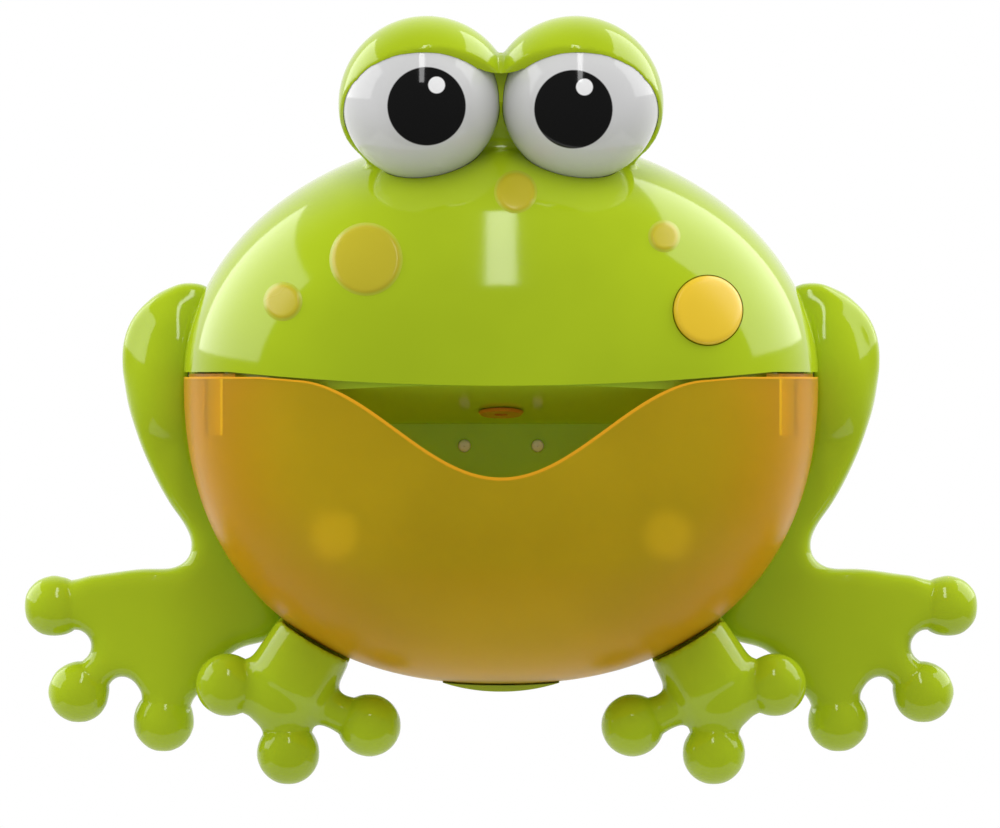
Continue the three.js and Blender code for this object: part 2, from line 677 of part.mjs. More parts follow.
// Rear shell: an open dish with the battery pocket, screw wells, pillars, cradles and a ledge below
function rearShell() {
  const dish = prismY(outlineShape(REAR_INSET), backY, rearRimY);
  const hollow = prismY(outlineShape(REAR_INSET + REAR_WALL), plateY, -FAR);
  const shellBottom = MOUTH_LEVEL - TRAY_DROP;
  const ledgeTop = shellBottom - FIT;
  const ledgeBottom = ledgeTop - LEDGE_THICKNESS;
  const ledgeBlock = box(-LEDGE_HALF_WIDTH, LEDGE_HALF_WIDTH, rearRimY, backY, ledgeBottom,
    shellBottom + REAR_WALL);
  const shelf = box(-LEDGE_HALF_WIDTH, LEDGE_HALF_WIDTH, seamY - LEDGE_REACH, backY, ledgeBottom, ledgeTop);
  const additions = [
    ledgeBlock.subtract(hollow),
    shelf,
    box(-pocketOuterX, pocketOuterX, backY, pocketBackY, POCKET_Z - pocketOuterZ, POCKET_Z + pocketOuterZ),
    box(-DOOR_TAB_WIDTH / 2 - POCKET_WALL, DOOR_TAB_WIDTH / 2 + POCKET_WALL, backY,
      doorScrewSeatY - doorScrewLength - POCKET_WALL, POCKET_Z, doorTabTop + POCKET_WALL),
  ];
  const removals = [
    box(-pocketHalfX, pocketHalfX, FAR / 2, pocketFloorY, POCKET_Z - pocketHalfZ, POCKET_Z + pocketHalfZ),
    doorOutline(FIT, FAR / 2, doorInnerY - FIT),
    rodY(SCREW_RADIUS + FIT, FAR / 2, doorScrewSeatY - doorScrewLength, 0, doorScrewZ, 14),
  ];
  for (const [x, z] of [...headScrews, ...linerScrews]) {
    additions.push(rodY(wellRadius, backY, rearRimY, x, z, 12));
    removals.push(rodY(SCREW_HEAD_RADIUS + FIT, FAR / 2, screwSeatY, x, z, 12));
    removals.push(rodY(SCREW_RADIUS + FIT, FAR / 2, -FAR / 2, x, z, 10));
  }
  for (const [x, z] of cupPlaces) {
    removals.push(rodY(CUP_NECK_RADIUS + FIT, FAR / 2, plateY - OVERRUN, x, z, 18));
  }
  for (const [x, z] of pillarPlaces) {
    additions.push(rodY(PILLAR_RADIUS, backY, boardBackY + FIT, x, z, 8));
  }
  for (const { sign } of sides) {
    additions.push(rodY(PILLAR_RADIUS, backY, scrollBackY + FIT, sign * EAR_X, BLOWER_Z, 8));
    const pegY = (backY + rearRimY) / 2;
    for (const lift of HIND_PEGS) {
      const inX = halfWidthAt(lift, REAR_INSET) - 2 * REAR_WALL;
      removals.push(rodX(HIND_PEG_RADIUS + FIT, sign * FAR / 2, sign * inX, pegY, lift, 12));
    }
    const holeFrom = legPoint(sign, FRONT_PEG_OUT, frontPegY);
    const holeTo = legPoint(sign, -FRONT_PEG_IN - SLIDE_GAP, frontPegY);
    removals.push(rodBetween(holeFrom, holeTo, FRONT_PEG_RADIUS + FIT, FRONT_PEG_RADIUS + FIT, 12));
  }
  const ringFrontY = fanMotorBackY - FAN_MOTOR_LENGTH / 2;
  additions.push(rodY(FAN_MOTOR_RADIUS + SLIDE_GAP + SCREW_WALL, backY, ringFrontY, 0, BLOWER_Z, 20));
  removals.push(rodY(FAN_MOTOR_RADIUS + SLIDE_GAP, plateY, -FAR, 0, BLOWER_Z, 20));
  const basketY = plateY - SPEAKER_DEPTH / 2;
  additions.push(rodY(SPEAKER_RADIUS + FIT + SCREW_WALL, backY, basketY, speakerX, SPEAKER_Z));
  removals.push(rodY(SPEAKER_RADIUS + FIT, plateY, -FAR, speakerX, SPEAKER_Z));
  for (let i = 0; i < GRILLE_HOLES; i += 1) {
    const angle = (2 * Math.PI * i) / GRILLE_HOLES;
    removals.push(rodY(GRILLE_HOLE, FAR / 2, plateY - OVERRUN, speakerX + GRILLE_RING * Math.cos(angle),
      SPEAKER_Z + GRILLE_RING * Math.sin(angle), 8));
  }
  const cradleX = gearMotorX + GEAR_MOTOR_LENGTH / 3;
  additions.push(box(cradleX, gearMotorX + GEAR_MOTOR_LENGTH - OVERRUN, backY, gearMotorBackY + FIT,
    WAND_Z - GEAR_MOTOR_HEIGHT / 3, WAND_Z + GEAR_MOTOR_HEIGHT / 3));
  return cut(joined(dish.subtract(hollow), ...additions), ...removals);
}

addPart('rear_shell', rearShell(), LIME, 0.3);

// Head shell: upper dome with eye domes, lids, spots, screw posts and the button's sleeve
function eyeCentre(sign) {
  return new THREE.Vector3(sign * EYE_SPACING, eyeY, eyeZ);
}

// The space in front of and below the lid's edge plane, set along the plane's normal
function lidFront(sign, along) {
  const geometry = new THREE.BoxGeometry(FAR / 2, FAR / 2, FAR / 2);
  geometry.translate(0, -FAR / 4 - along, 0);
  geometry.rotateX(THREE.MathUtils.degToRad(LID_TILT));
  const centre = eyeCentre(sign);
  geometry.translate(centre.x, centre.y, centre.z);
  return solidOf(geometry);
}

function eyeballForm(sign, radius, around = 18, down = 10) {
  const centre = eyeCentre(sign);
  return ball(radius, centre.x, centre.y - EYEBALL_FORWARD, centre.z, around, down);
}

// A spot is a round disc standing proud of the dome, its face parallel to the dome's own curve
function spotBump({ across, up, radius }) {
  const surfaceY = domeFront(across, up);
  const disc = rodY(radius, surfaceY - 2 * radius, surfaceY + 2 * radius, across, up, 14);
  return disc.intersect(bodyForm(-SPOT_PROUD, seamY));
}

function headShell() {
  const dome = bodyForm(0, seamY);
  const inner = bodyForm(HEAD_WALL, seamY + OPEN_BEHIND);
  let outer = dome;
  for (const { sign } of sides) {
    const centre = eyeCentre(sign);
    const eyeDome = ball(EYE_DOME_RADIUS, centre.x, centre.y, centre.z, 20, 10);
    outer = outer.add(eyeDome.subtract(lidFront(sign, LID_FORWARD)));
  }
  outer = joined(outer, ...SPOTS.map(spotBump));
  const sleeve = rodY(BUTTON_RADIUS + SLIDE_GAP + SLEEVE_WALL, -FAR / 2, sleeveEndY, buttonX, BUTTON_Z, 24);
  const posts = headScrews.map(([x, z]) => rodY(BOSS_RADIUS, -FAR / 2, seamY, x, z, 14).intersect(dome));
  const shell = joined(outer.subtract(inner), sleeve.intersect(dome), ...posts);
  const holes = headScrews.map(([x, z]) => {
    return rodY(SCREW_RADIUS + FIT, FAR / 2, screwSeatY - caseScrewLength - FIT, x, z, 12);
  });
  holes.push(rodY(BUTTON_RADIUS + SLIDE_GAP, -FAR / 2, FAR / 2, buttonX, BUTTON_Z, 24));
  for (const { sign } of sides) holes.push(eyeballForm(sign, EYEBALL_RADIUS + 2 * FIT));
  return cut(shell.intersect(aboveRim(0)), ...holes);
}

addPart('head_shell', headShell(), LIME, 0.15);

// Eyeballs: white cups tucked under the lids, open at the back, meeting at the middle of the face
for (const { word, sign } of sides) {
  const outer = eyeballForm(sign, EYEBALL_RADIUS);
  const inner = eyeballForm(sign, EYEBALL_RADIUS - EYEBALL_WALL, 12, 8);
  const half = box(sign * EYE_PART, sign * FAR / 2, -FAR / 2, FAR / 2, -FAR / 2, FAR / 2);
  const cup = outer.subtract(inner).intersect(lidFront(sign, LID_FORWARD - LID_LAP)).intersect(half);
  addPart(`${word}_eyeball`, cup, WHITE, 0.12);
}

// Push button: its face follows the dome, and a flange behind the sleeve keeps it in
const buttonCap = rodY(BUTTON_RADIUS, -FAR / 2, buttonBackY, buttonX, BUTTON_Z, 24);
const flangeRadius = BUTTON_RADIUS + SLIDE_GAP + SLEEVE_WALL - 2 * FIT;
const buttonFlange = rodY(flangeRadius, buttonBackY - BUTTON_FLANGE, buttonBackY, buttonX, BUTTON_Z, 24);
const buttonForm = buttonCap.intersect(bodyForm(-BUTTON_PROUD, buttonBackY));
addPart('power_button', buttonForm.add(buttonFlange), YELLOW, 0.3);

const switchHalf = SWITCH_SIDE / 2;
const switchBody = box(buttonX - switchHalf, buttonX + switchHalf, switchFrontY, boardFrontY - FIT,
  BUTTON_Z - switchHalf, BUTTON_Z + switchHalf);
const plunger = rodY(PLUNGER_RADIUS, plungerTipY, switchFrontY + OVERRUN, buttonX, BUTTON_Z, 12);
addPart('push_switch', switchBody.add(plunger), BLACK, 0.5);

const board = box(buttonX - BOARD_WIDTH / 2, buttonX + BOARD_WIDTH / 2, boardFrontY, boardBackY,
  BUTTON_Z - BOARD_HEIGHT / 2, BUTTON_Z + BOARD_HEIGHT / 2);
addPart('circuit_board', board, BOARD_GREEN, 0.5);

// Mouth liner: back wall, ceiling, upstand into the head, bearing bosses and grooves for the tray's tabs
function tabGroove(grow) {
  const inner = tabX - TAB_WIDTH / 2 - grow;
  const bottom = trayTopZ - TAB_HEIGHT - grow;
  const back = linerFrontY - SLIDE_GAP + grow;
  return sides.map(({ sign }) => box(sign * inner, sign * FAR / 2, -FAR / 2, back, bottom, FAR / 2));
}

function mouthLiner() {
  const rimBack = seamY + OPEN_BEHIND;
  const upperLimit = box(-FAR / 2, FAR / 2, -FAR / 2, FAR / 2, linerTop, FAR);
  const outer = cut(bodyForm(linerInset, seamY), mouthSpace(0), ...tabGroove(SLIDE_GAP), upperLimit);
  const inner = cut(bodyForm(linerInset + LINER_WALL, rimBack), mouthSpace(LINER_WALL),
    ...tabGroove(SLIDE_GAP + LINER_WALL));
  const additions = [];
  const removals = [];
  for (const [x, z] of linerScrews) {
    additions.push(rodY(BOSS_RADIUS, seamY, linerBackY - OVERRUN, x, z, 14));
    removals.push(rodY(SCREW_RADIUS + FIT, FAR / 2, screwSeatY - caseScrewLength - FIT, x, z, 12));
  }
  for (const { sign } of sides) {
    const boss = rodX(bearingRadius, sign * bearingInX, sign * bearingOutX, wandY, WAND_Z, 24);
    additions.push(boss, box(sign * bearingInX, sign * bearingOutX, wandY, linerBackY, WAND_Z - bearingRadius,
      WAND_Z + bearingRadius));
    removals.push(rodY(JET_RADIUS + FIT, -FAR / 2, FAR / 2, sign * WAND_SPACING, JET_Z, 14));
  }
  removals.push(rodX(caseRadius, caseInX, caseOutX, wandY, WAND_Z, 24));
  removals.push(box(caseInX, caseOutX, wandY, seamY + OVERRUN, WAND_Z - caseRadius, WAND_Z + caseRadius));
  removals.push(rodX(AXLE_RADIUS + FIT, -caseOutX, caseOutX - FIT, wandY, WAND_Z, 16));
  const holeRadius = PLUG_STEM_RADIUS + FIT;
  const plugHole = new THREE.CylinderGeometry(holeRadius, holeRadius, 4 * LINER_WALL, 20);
  plugHole.rotateX(plugTurn);
  plugHole.translate(0, plugY, plugZ);
  removals.push(solidOf(plugHole));
  return cut(joined(outer.subtract(inner), ...additions), ...removals);
}

addPart('mouth_liner', mouthLiner(), LIME, 0.12);

// Amber plug clipped into the ceiling; its own axis is square to the ceiling
const plugProfile = [
  [0, PLUG_DIMPLE_DEPTH - PLUG_FLANGE],
  [PLUG_DIMPLE, PLUG_DIMPLE_DEPTH - PLUG_FLANGE],
  [PLUG_DIMPLE, -PLUG_FLANGE],
  [PLUG_RADIUS - PLUG_CHAMFER, -PLUG_FLANGE],
  [PLUG_RADIUS, -FIT],
  [PLUG_STEM_RADIUS, -FIT],
  [PLUG_STEM_RADIUS, LINER_WALL + FIT],
  [PLUG_STEM_RADIUS + PLUG_BARB, LINER_WALL + FIT],
  [PLUG_STEM_RADIUS, LINER_WALL + FIT + PLUG_BARB_LENGTH],
  [0, LINER_WALL + FIT + PLUG_BARB_LENGTH],
];
const plug = addPart('ceiling_plug', turnedY(plugProfile, 20), AMBER, 0.2);
plug.rotation.x = plugTurn;
plug.position.set(0, plugY, plugZ);

// Soap tray: a deep open bowl with a low back wall, a scooped front lip and two inner tabs
function scoopSpace() {
  const shape = new THREE.Shape();
  shape.moveTo(SCOOP_HALF_WIDTH, FAR / 4);
  shape.lineTo(-SCOOP_HALF_WIDTH, FAR / 4);
  for (let i = 0; i <= SCOOP_STEPS; i += 1) {
    const share = (2 * i) / SCOOP_STEPS - 1;
    const dip = (1 + Math.cos(Math.PI * share)) / 2;
    shape.lineTo(share * SCOOP_HALF_WIDTH, SCOOP_TOP - (SCOOP_TOP - SCOOP_BOTTOM) * dip);
  }
  return prismY(shape, trayBackFrontY, -FAR);
}

function soapTray() {
  const aboveTop = box(-FAR / 2, FAR / 2, -FAR / 2, FAR / 2, trayTopZ, FAR / 2);
  const outer = cut(bodyForm(0, seamY), aboveRim(RIM_GAP), aboveTop);
  const backWall = box(-FAR / 2, FAR / 2, trayBackFrontY, trayBackFrontY + TRAY_WALL, -FAR, TRAY_BACK_TOP);
  const hollow = bodyForm(TRAY_WALL, seamY + OPEN_BEHIND).subtract(backWall);
  const tabBackY = linerFrontY - SLIDE_GAP;
  const tabs = sides.map(({ sign }) => {
    const rib = box(sign * (tabX - TAB_WIDTH / 2), sign * (tabX + TAB_WIDTH / 2), -FAR / 2, tabBackY,
      trayTopZ - TAB_HEIGHT, FAR / 2);
    return rib.intersect(outer);
  });
  return cut(joined(outer.subtract(hollow), ...tabs), scoopSpace());
}

addPart('soap_tray', soapTray(), AMBER, 0.2);

// Bubble wand: an axle with two stalks and rings, resting level over the tray
function bubbleWand() {
  const axle = rodX(AXLE_RADIUS, -caseOutX + FIT, caseOutX - 2 * FIT, 0, 0, 12);
  const pieces = [];
  for (const { sign } of sides) {
    const x = sign * WAND_SPACING;
    const ring = new THREE.TorusGeometry(RING_RADIUS, RING_WIRE, 6, 16);
    ring.translate(x, -WAND_REACH, 0);
    pieces.push(rodY(STALK_RADIUS, 0, -WAND_REACH + RING_RADIUS, x, 0, 8), solidOf(ring));
  }
  return joined(axle, ...pieces);
}

const wand = addPart('bubble_wand', bubbleWand(), LIME, 0.25);
wand.position.set(0, wandY, WAND_Z);

// A spur gear about X with straight-sided teeth and a bore
function spurGear(teeth, bore, phase) {
  const pitch = (GEAR_MODULE * teeth) / 2;
  const tip = pitch + GEAR_ADDENDUM * GEAR_MODULE;
  const root = pitch - GEAR_DEDENDUM * GEAR_MODULE;
  const step = (2 * Math.PI) / teeth;
  const corners = [
    [root, -TOOTH_ROOT_SHARE],
    [tip, -TOOTH_TIP_SHARE],
    [tip, TOOTH_TIP_SHARE],
    [root, TOOTH_ROOT_SHARE],
  ];
  const points = [];
  for (let i = 0; i < teeth; i += 1) {
    for (const [radius, share] of corners) {
      const angle = (i + share + phase) * step;
      points.push(new THREE.Vector2(radius * Math.cos(angle), radius * Math.sin(angle)));
    }
  }
  const shape = new THREE.Shape(points);
  const hole = new THREE.Path();
  hole.absarc(0, 0, bore, 0, 2 * Math.PI, true);
  shape.holes.push(hole);
  const settings = { depth: GEAR_WIDTH, bevelEnabled: false, curveSegments: 8 };
  const geometry = new THREE.ExtrudeGeometry(shape, settings);
  geometry.rotateX(Math.PI / 2);
  geometry.rotateZ(Math.PI / 2);
  geometry.translate(-GEAR_WIDTH / 2, 0, 0);
  return solidOf(geometry);
}

const wandGear = addPart('wand_gear', spurGear(GEAR_TEETH, AXLE_RADIUS + FIT, 0), WHITE, 0.5);
wandGear.position.set(bearingX, wandY, WAND_Z);
const pinion = addPart('drive_pinion', spurGear(PINION_TEETH, AXLE_RADIUS + FIT, 0.5), WHITE, 0.5);
pinion.position.set(bearingX, pinionY, WAND_Z);

const gearMotorBody = box(gearMotorX, gearMotorX + GEAR_MOTOR_LENGTH, pinionY - GEAR_MOTOR_WIDTH / 2,
  gearMotorBackY, WAND_Z - GEAR_MOTOR_HEIGHT / 2, WAND_Z + GEAR_MOTOR_HEIGHT / 2);
const gearMotorShaft = rodX(AXLE_RADIUS, bearingX - GEAR_WIDTH / 2, gearMotorX + OVERRUN, pinionY,
  WAND_Z, 14);
addPart('gear_motor', gearMotorBody.add(gearMotorShaft), STEEL, 0.4, 0.8);

// Blower: motor, scroll housing and impeller on one axis along Y
const fanMotorBody = rodY(FAN_MOTOR_RADIUS, fanMotorBackY, fanMotorFrontY, 0, BLOWER_Z, 20);
const fanShaftEndY = scrollFrontY + SCROLL_WALL + OVERRUN;
const fanMotorShaft = rodY(FAN_SHAFT_RADIUS, fanMotorFrontY + OVERRUN, fanShaftEndY, 0, BLOWER_Z, 10);
addPart('blower_motor', fanMotorBody.add(fanMotorShaft), STEEL, 0.4, 0.8);

const outletBottom = BLOWER_Z - SCROLL_RADIUS - OUTLET_REACH;

function blowerScroll() {
  const drum = rodY(SCROLL_RADIUS, scrollBackY, scrollFrontY, 0, BLOWER_Z, 20);
  const chute = box(-OUTLET_HALF_WIDTH, OUTLET_HALF_WIDTH, scrollBackY, scrollFrontY, outletBottom, BLOWER_Z);
  const ears = box(-EAR_X - PILLAR_RADIUS, EAR_X + PILLAR_RADIUS, scrollBackY, scrollBackY - SCROLL_WALL,
    BLOWER_Z - PILLAR_RADIUS, BLOWER_Z + PILLAR_RADIUS);
  const innerBackY = scrollBackY - SCROLL_WALL;
  const innerFrontY = scrollFrontY + SCROLL_WALL;
  const room = rodY(SCROLL_RADIUS - SCROLL_WALL, innerBackY, innerFrontY, 0, BLOWER_Z, 20);
  const chuteHalf = OUTLET_HALF_WIDTH - SCROLL_WALL;
  const chuteRoom = box(-chuteHalf, chuteHalf, innerBackY, innerFrontY, outletBottom - OVERRUN, BLOWER_Z);
  const inlet = rodY(INLET_RADIUS, innerFrontY + OVERRUN, -FAR, 0, BLOWER_Z, 16);
  const shaftHole = rodY(FAN_SHAFT_RADIUS + FIT, scrollBackY + OVERRUN, innerBackY - OVERRUN, 0,
    BLOWER_Z, 14);
  return cut(joined(drum, chute, ears), room, chuteRoom, inlet, shaftHole);
}

addPart('blower_scroll', blowerScroll(), DUCT_GREY, 0.5);

// Impeller: a back disc with radial blades round a hub
function impeller() {
  const backY0 = scrollBackY - SCROLL_WALL - 2 * FIT;
  const frontY0 = scrollFrontY + SCROLL_WALL + 2 * FIT;
  const disc = rodY(IMPELLER_RADIUS, backY0, backY0 - BLADE_THICKNESS, 0, 0, 24);
  const hub = rodY(HUB_RADIUS, backY0, frontY0, 0, 0, 16);
  const blades = [];
  for (let i = 0; i < IMPELLER_BLADES; i += 1) {
    const length = IMPELLER_RADIUS - HUB_RADIUS;
    const blade = new THREE.BoxGeometry(length, Math.abs(frontY0 - backY0), BLADE_THICKNESS);
    blade.translate(HUB_RADIUS + length / 2 - FIT, (frontY0 + backY0) / 2, 0);
    blade.rotateY((2 * Math.PI * i) / IMPELLER_BLADES);
    blades.push(solidOf(blade));
  }
  const bore = rodY(FAN_SHAFT_RADIUS + FIT, FAR / 2, -FAR / 2, 0, 0, 12);
  return joined(disc, hub, ...blades).subtract(bore);
}

const fan = addPart('impeller', impeller(), FAN_BLUE, 0.5);
fan.position.set(0, 0, BLOWER_Z);

// Air duct: back over the ceiling from the blower, then down behind the back wall to the jets
function airDuct() {
  const top = outletBottom - FIT;
  const floor = top - DUCT_HEIGHT;
  const frontY = scrollFrontY;
  const dropFrontY = linerBackY + SLIDE_GAP;
  const dropBackY = pocketBackY - SLIDE_GAP;
  const low = JET_Z - 2 * DUCT_WALL - JET_RADIUS;
  const run = box(-DUCT_HALF_WIDTH, DUCT_HALF_WIDTH, frontY, dropBackY, floor, top);
  const drop = box(-DUCT_HALF_WIDTH, DUCT_HALF_WIDTH, dropFrontY, dropBackY, low, top);
  const inX = DUCT_HALF_WIDTH - DUCT_WALL;
  const roomBackY = dropBackY - DUCT_WALL;
  const roomTop = top - DUCT_WALL;
  const runRoom = box(-inX, inX, frontY + DUCT_WALL, roomBackY, floor + DUCT_WALL, roomTop);
  const dropRoom = box(-inX, inX, dropFrontY + DUCT_WALL, roomBackY, low + DUCT_WALL, roomTop);
  const mouthHalf = OUTLET_HALF_WIDTH - SCROLL_WALL;
  const mouth = box(-mouthHalf, mouthHalf, scrollBackY - SCROLL_WALL, scrollFrontY + SCROLL_WALL,
    floor + DUCT_WALL, top + OVERRUN);
  const holes = sides.map(({ sign }) => {
    const holeBackY = dropFrontY + DUCT_WALL + OVERRUN;
    return rodY(JET_RADIUS + FIT, dropFrontY - OVERRUN, holeBackY, sign * WAND_SPACING, JET_Z, 14);
  });
  return cut(run.add(drop), runRoom, dropRoom, mouth, ...holes);
}

addPart('air_duct', airDuct(), DUCT_GREY, 0.5);

const jetBackY = linerBackY + SLIDE_GAP + DUCT_WALL;
const jetLength = jetBackY - linerFrontY + JET_PROUD;
for (const { word, sign } of sides) {
  const profile = [
    [JET_BORE, 0],
    [JET_RADIUS, 0],
    [JET_RADIUS, jetLength],
    [JET_BORE, jetLength],
    [JET_BORE, 0],
  ];
  const jet = addPart(`air_jet_${word}`, turnedY(profile, 14), WHITE, 0.3);
  jet.position.set(sign * WAND_SPACING, jetBackY - jetLength, JET_Z);
}

// Speaker: a basket with a magnet behind its cone, facing the holes in the rear shell
const speakerProfile = [
  [0, 0],
  [SPEAKER_RADIUS * 0.6, 0],
  [SPEAKER_RADIUS * 0.6, SPEAKER_DEPTH * 0.5],
  [SPEAKER_RADIUS, SPEAKER_DEPTH * 0.75],
  [SPEAKER_RADIUS, SPEAKER_DEPTH],
  [SPEAKER_RADIUS * 0.85, SPEAKER_DEPTH],
  [SPEAKER_RADIUS * 0.3, SPEAKER_DEPTH * 0.8],
  [0, SPEAKER_DEPTH * 0.8],
];
const speaker = addPart('speaker', turnedY(speakerProfile, 18), BLACK, 0.6);
speaker.position.set(speakerX, plateY - FIT - SPEAKER_DEPTH, SPEAKER_Z);

// Hind legs: thigh and flat foot in one moulding, pegged to the side of the rear shell
function hindLeg(sign) {
  const place = ([out, up]) => new THREE.Vector2(sign * (BODY_HALF_WIDTH + out), MOUTH_LEVEL + up);
  const points = HIND_OUTLINE.map(place).map((point) => new THREE.Vector3(point.x, point.y, 0));
  const curve = new THREE.CatmullRomCurve3(points, true, 'centripetal');
  const edge = curve.getPoints(HIND_STEPS).slice(0, -1);
  const shape = new THREE.Shape(edge.map((point) => new THREE.Vector2(point.x, point.y)));
  const plate = new THREE.ExtrudeGeometry(shape, {
    depth: HIND_THICKNESS - 2 * HIND_EDGE,
    bevelEnabled: true,
    bevelThickness: HIND_EDGE,
    bevelSize: HIND_EDGE_INSET,
    bevelOffset: -HIND_EDGE_INSET,
    bevelSegments: 1,
  });
  plate.rotateX(Math.PI / 2);
  plate.translate(0, HIND_THICKNESS - HIND_FRONT - HIND_EDGE, 0);
  const toeY = HIND_THICKNESS / 2 - HIND_FRONT;
  const toes = HIND_TOES.map((toe) => {
    const at = place(toe);
    return ball(HIND_TOE_RADIUS, at.x, toeY, at.y, 10, 6);
  });
  const swell = new THREE.SphereGeometry(1, 14, 8);
  const thigh = place(THIGH_PLACE);
  swell.scale(THIGH_HALF_WIDTH, THIGH_SWELL + HIND_THICKNESS / 2, THIGH_HALF_HEIGHT);
  swell.translate(thigh.x, toeY, thigh.y);
  const pegY = (backY + rearRimY) / 2;
  const pegs = HIND_PEGS.map((lift) => {
    const wallX = halfWidthAt(lift, REAR_INSET);
    const [rootX, endX] = [wallX + HIND_PEG_ROOT, wallX - HIND_PEG_REACH];
    return rodX(HIND_PEG_RADIUS, sign * rootX, sign * endX, pegY, lift, 12);
  });
  const shellSpace = prismY(outlineShape(REAR_INSET - FIT), FAR / 2, seamY);
  const faceSpace = prismY(outlineShape(-2 * FIT), seamY + 2 * FIT, -FAR);
  const limb = joined(solidOf(plate), ...toes, solidOf(swell));
  return cut(limb, shellSpace, faceSpace).add(joined(...pegs));
}

for (const { word, sign } of sides) addPart(`${word}_hind_leg`, hindLeg(sign), LIME, 0.2);

// Front feet: a short leg cut off along the underside, a palm and three toe balls, held by a peg
function frontFoot(sign) {
  const place = ([out, up]) => {
    return new THREE.Vector3(sign * (frontLegX + out), FRONT_LEG_Y, legRootZ + up);
  };
  const palmAt = place(FRONT_PALM);
  const palm = new THREE.SphereGeometry(PALM_RADIUS, 12, 8);
  palm.scale(1, PALM_FLATTENING, 1);
  palm.translate(palmAt.x, palmAt.y, palmAt.z);
  const hip = legPoint(sign, -FRONT_LEG_SUNK, FRONT_LEG_Y);
  const leg = rodBetween(hip, palmAt, FRONT_LEG_RADIUS, FRONT_LEG_RADIUS, 12);
  const toes = [];
  for (const toe of FRONT_TOES) {
    const at = place(toe);
    toes.push(ball(FRONT_TOE_RADIUS, at.x, at.y, at.z, 10, 6));
    toes.push(rodBetween(palmAt, at, FRONT_TOE_NECK, FRONT_TOE_NECK, 6));
  }
  const pegFrom = legPoint(sign, FRONT_PEG_OUT, frontPegY);
  const pegTo = legPoint(sign, -FRONT_PEG_IN, frontPegY);
  const peg = rodBetween(pegFrom, pegTo, FRONT_PEG_RADIUS, FRONT_PEG_RADIUS, 12);
  const shellSpace = prismY(outlineShape(REAR_INSET - FIT), FAR / 2, seamY + 2 * FIT);
  const faceSpace = prismY(outlineShape(-2 * FIT), seamY + 2 * FIT, -FAR);
  return cut(joined(leg, solidOf(palm), ...toes), shellSpace, faceSpace).add(peg);
}

for (const { word, sign } of sides) addPart(`${word}_front_foot`, frontFoot(sign), LIME, 0.2);

export default toy;
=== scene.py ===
# Bubble frog bath toy: a glossy lime frog that hangs on a bath wall by suction cups, with an amber soap tray
# for a jaw. The toy's sizes are in millimetres, which MM turns into the frame's metres, and the studio's are
# in metres. The face looks along -Y and the wall is at y = 0.
import math
from functools import partial

import bpy
from mathutils import Euler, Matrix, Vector


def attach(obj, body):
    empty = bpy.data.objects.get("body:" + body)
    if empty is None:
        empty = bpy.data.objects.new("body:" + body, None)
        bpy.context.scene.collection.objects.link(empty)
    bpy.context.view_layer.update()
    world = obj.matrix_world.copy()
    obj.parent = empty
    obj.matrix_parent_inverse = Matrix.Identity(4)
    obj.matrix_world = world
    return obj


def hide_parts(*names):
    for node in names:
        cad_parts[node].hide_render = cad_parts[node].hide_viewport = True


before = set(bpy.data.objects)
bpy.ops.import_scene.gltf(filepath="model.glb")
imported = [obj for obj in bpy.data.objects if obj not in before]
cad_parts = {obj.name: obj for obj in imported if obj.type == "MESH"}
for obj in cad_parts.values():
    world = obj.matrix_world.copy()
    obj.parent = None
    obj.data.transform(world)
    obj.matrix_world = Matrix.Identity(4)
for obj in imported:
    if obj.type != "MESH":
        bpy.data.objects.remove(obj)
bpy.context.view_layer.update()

# The studio: a long lens level with the mouth and a white room. A broad soft box stands on each side of the
# frog and a narrow strip hangs over the camera; each shows as a pale patch on the glossy plastic.
MM = 0.001
PICTURE_WIDTH = 240 * MM
PICTURE_X = -0.24 * MM
PICTURE_Z = 3.84 * MM
FACE_Y = -36 * MM
LENS = 1100
SENSOR = 36
CLIP_END = 60
LAMP_AIM = Vector((0, -0.04, 0.01))
LAMP_DISTANCE = 0.9
picture_y = FACE_Y - PICTURE_WIDTH * LENS / SENSOR
bpy.ops.object.camera_add(location=(PICTURE_X, picture_y, PICTURE_Z), rotation=(math.pi / 2, 0, 0))
camera = bpy.context.object
camera.data.lens = LENS
camera.data.sensor_width = SENSOR
camera.data.clip_end = CLIP_END
bpy.context.scene.camera = camera
bpy.context.scene.view_settings.view_transform = "Standard"


def soft_box(name, azimuth, elevation, width, height, power):
    """A flat lamp that looks at the frog; azimuth 0 is in front of it and 90 on the viewer's right."""
    around, up = math.radians(azimuth), math.radians(elevation)
    way = Vector((math.sin(around) * math.cos(up), -math.cos(around) * math.cos(up), math.sin(up)))
    bpy.ops.object.light_add(type="AREA", location=LAMP_AIM + way * LAMP_DISTANCE)
    lamp = bpy.context.object
    lamp.name = name
    lamp.rotation_euler = (-way).to_track_quat("-Z", "Y").to_euler()
    lamp.data.shape = "RECTANGLE"
    lamp.data.size = width
    lamp.data.size_y = height
    lamp.data.energy = power
    lamp.visible_camera = False


def feed(tree, socket, value):
    """Sets a node's input to a plain value, or links it to another node's output."""
    if isinstance(value, bpy.types.NodeSocket):
        tree.links.new(value, socket)
    else:
        socket.default_value = value


def maths(tree, operation, *values):
    """Works out a sum in a node tree, from numbers or other nodes' outputs."""
    node = tree.nodes.new("ShaderNodeMath")
    node.operation = operation
    for socket, value in zip(node.inputs, values):
        feed(tree, socket, value)
    return node.outputs[0]


def ranged(tree, value, start, end, first=0, last=1, smooth=False):
    """Turns a value that runs from start to end into one from first to last, held at both ends."""
    node = tree.nodes.new("ShaderNodeMapRange")
    node.interpolation_type = "SMOOTHSTEP" if smooth else "LINEAR"
    settings = {"Value": value, "From Min": start, "From Max": end, "To Min": first, "To Max": last}
    for name, setting in settings.items():
        feed(tree, node.inputs[name], setting)
    return node.outputs["Result"]


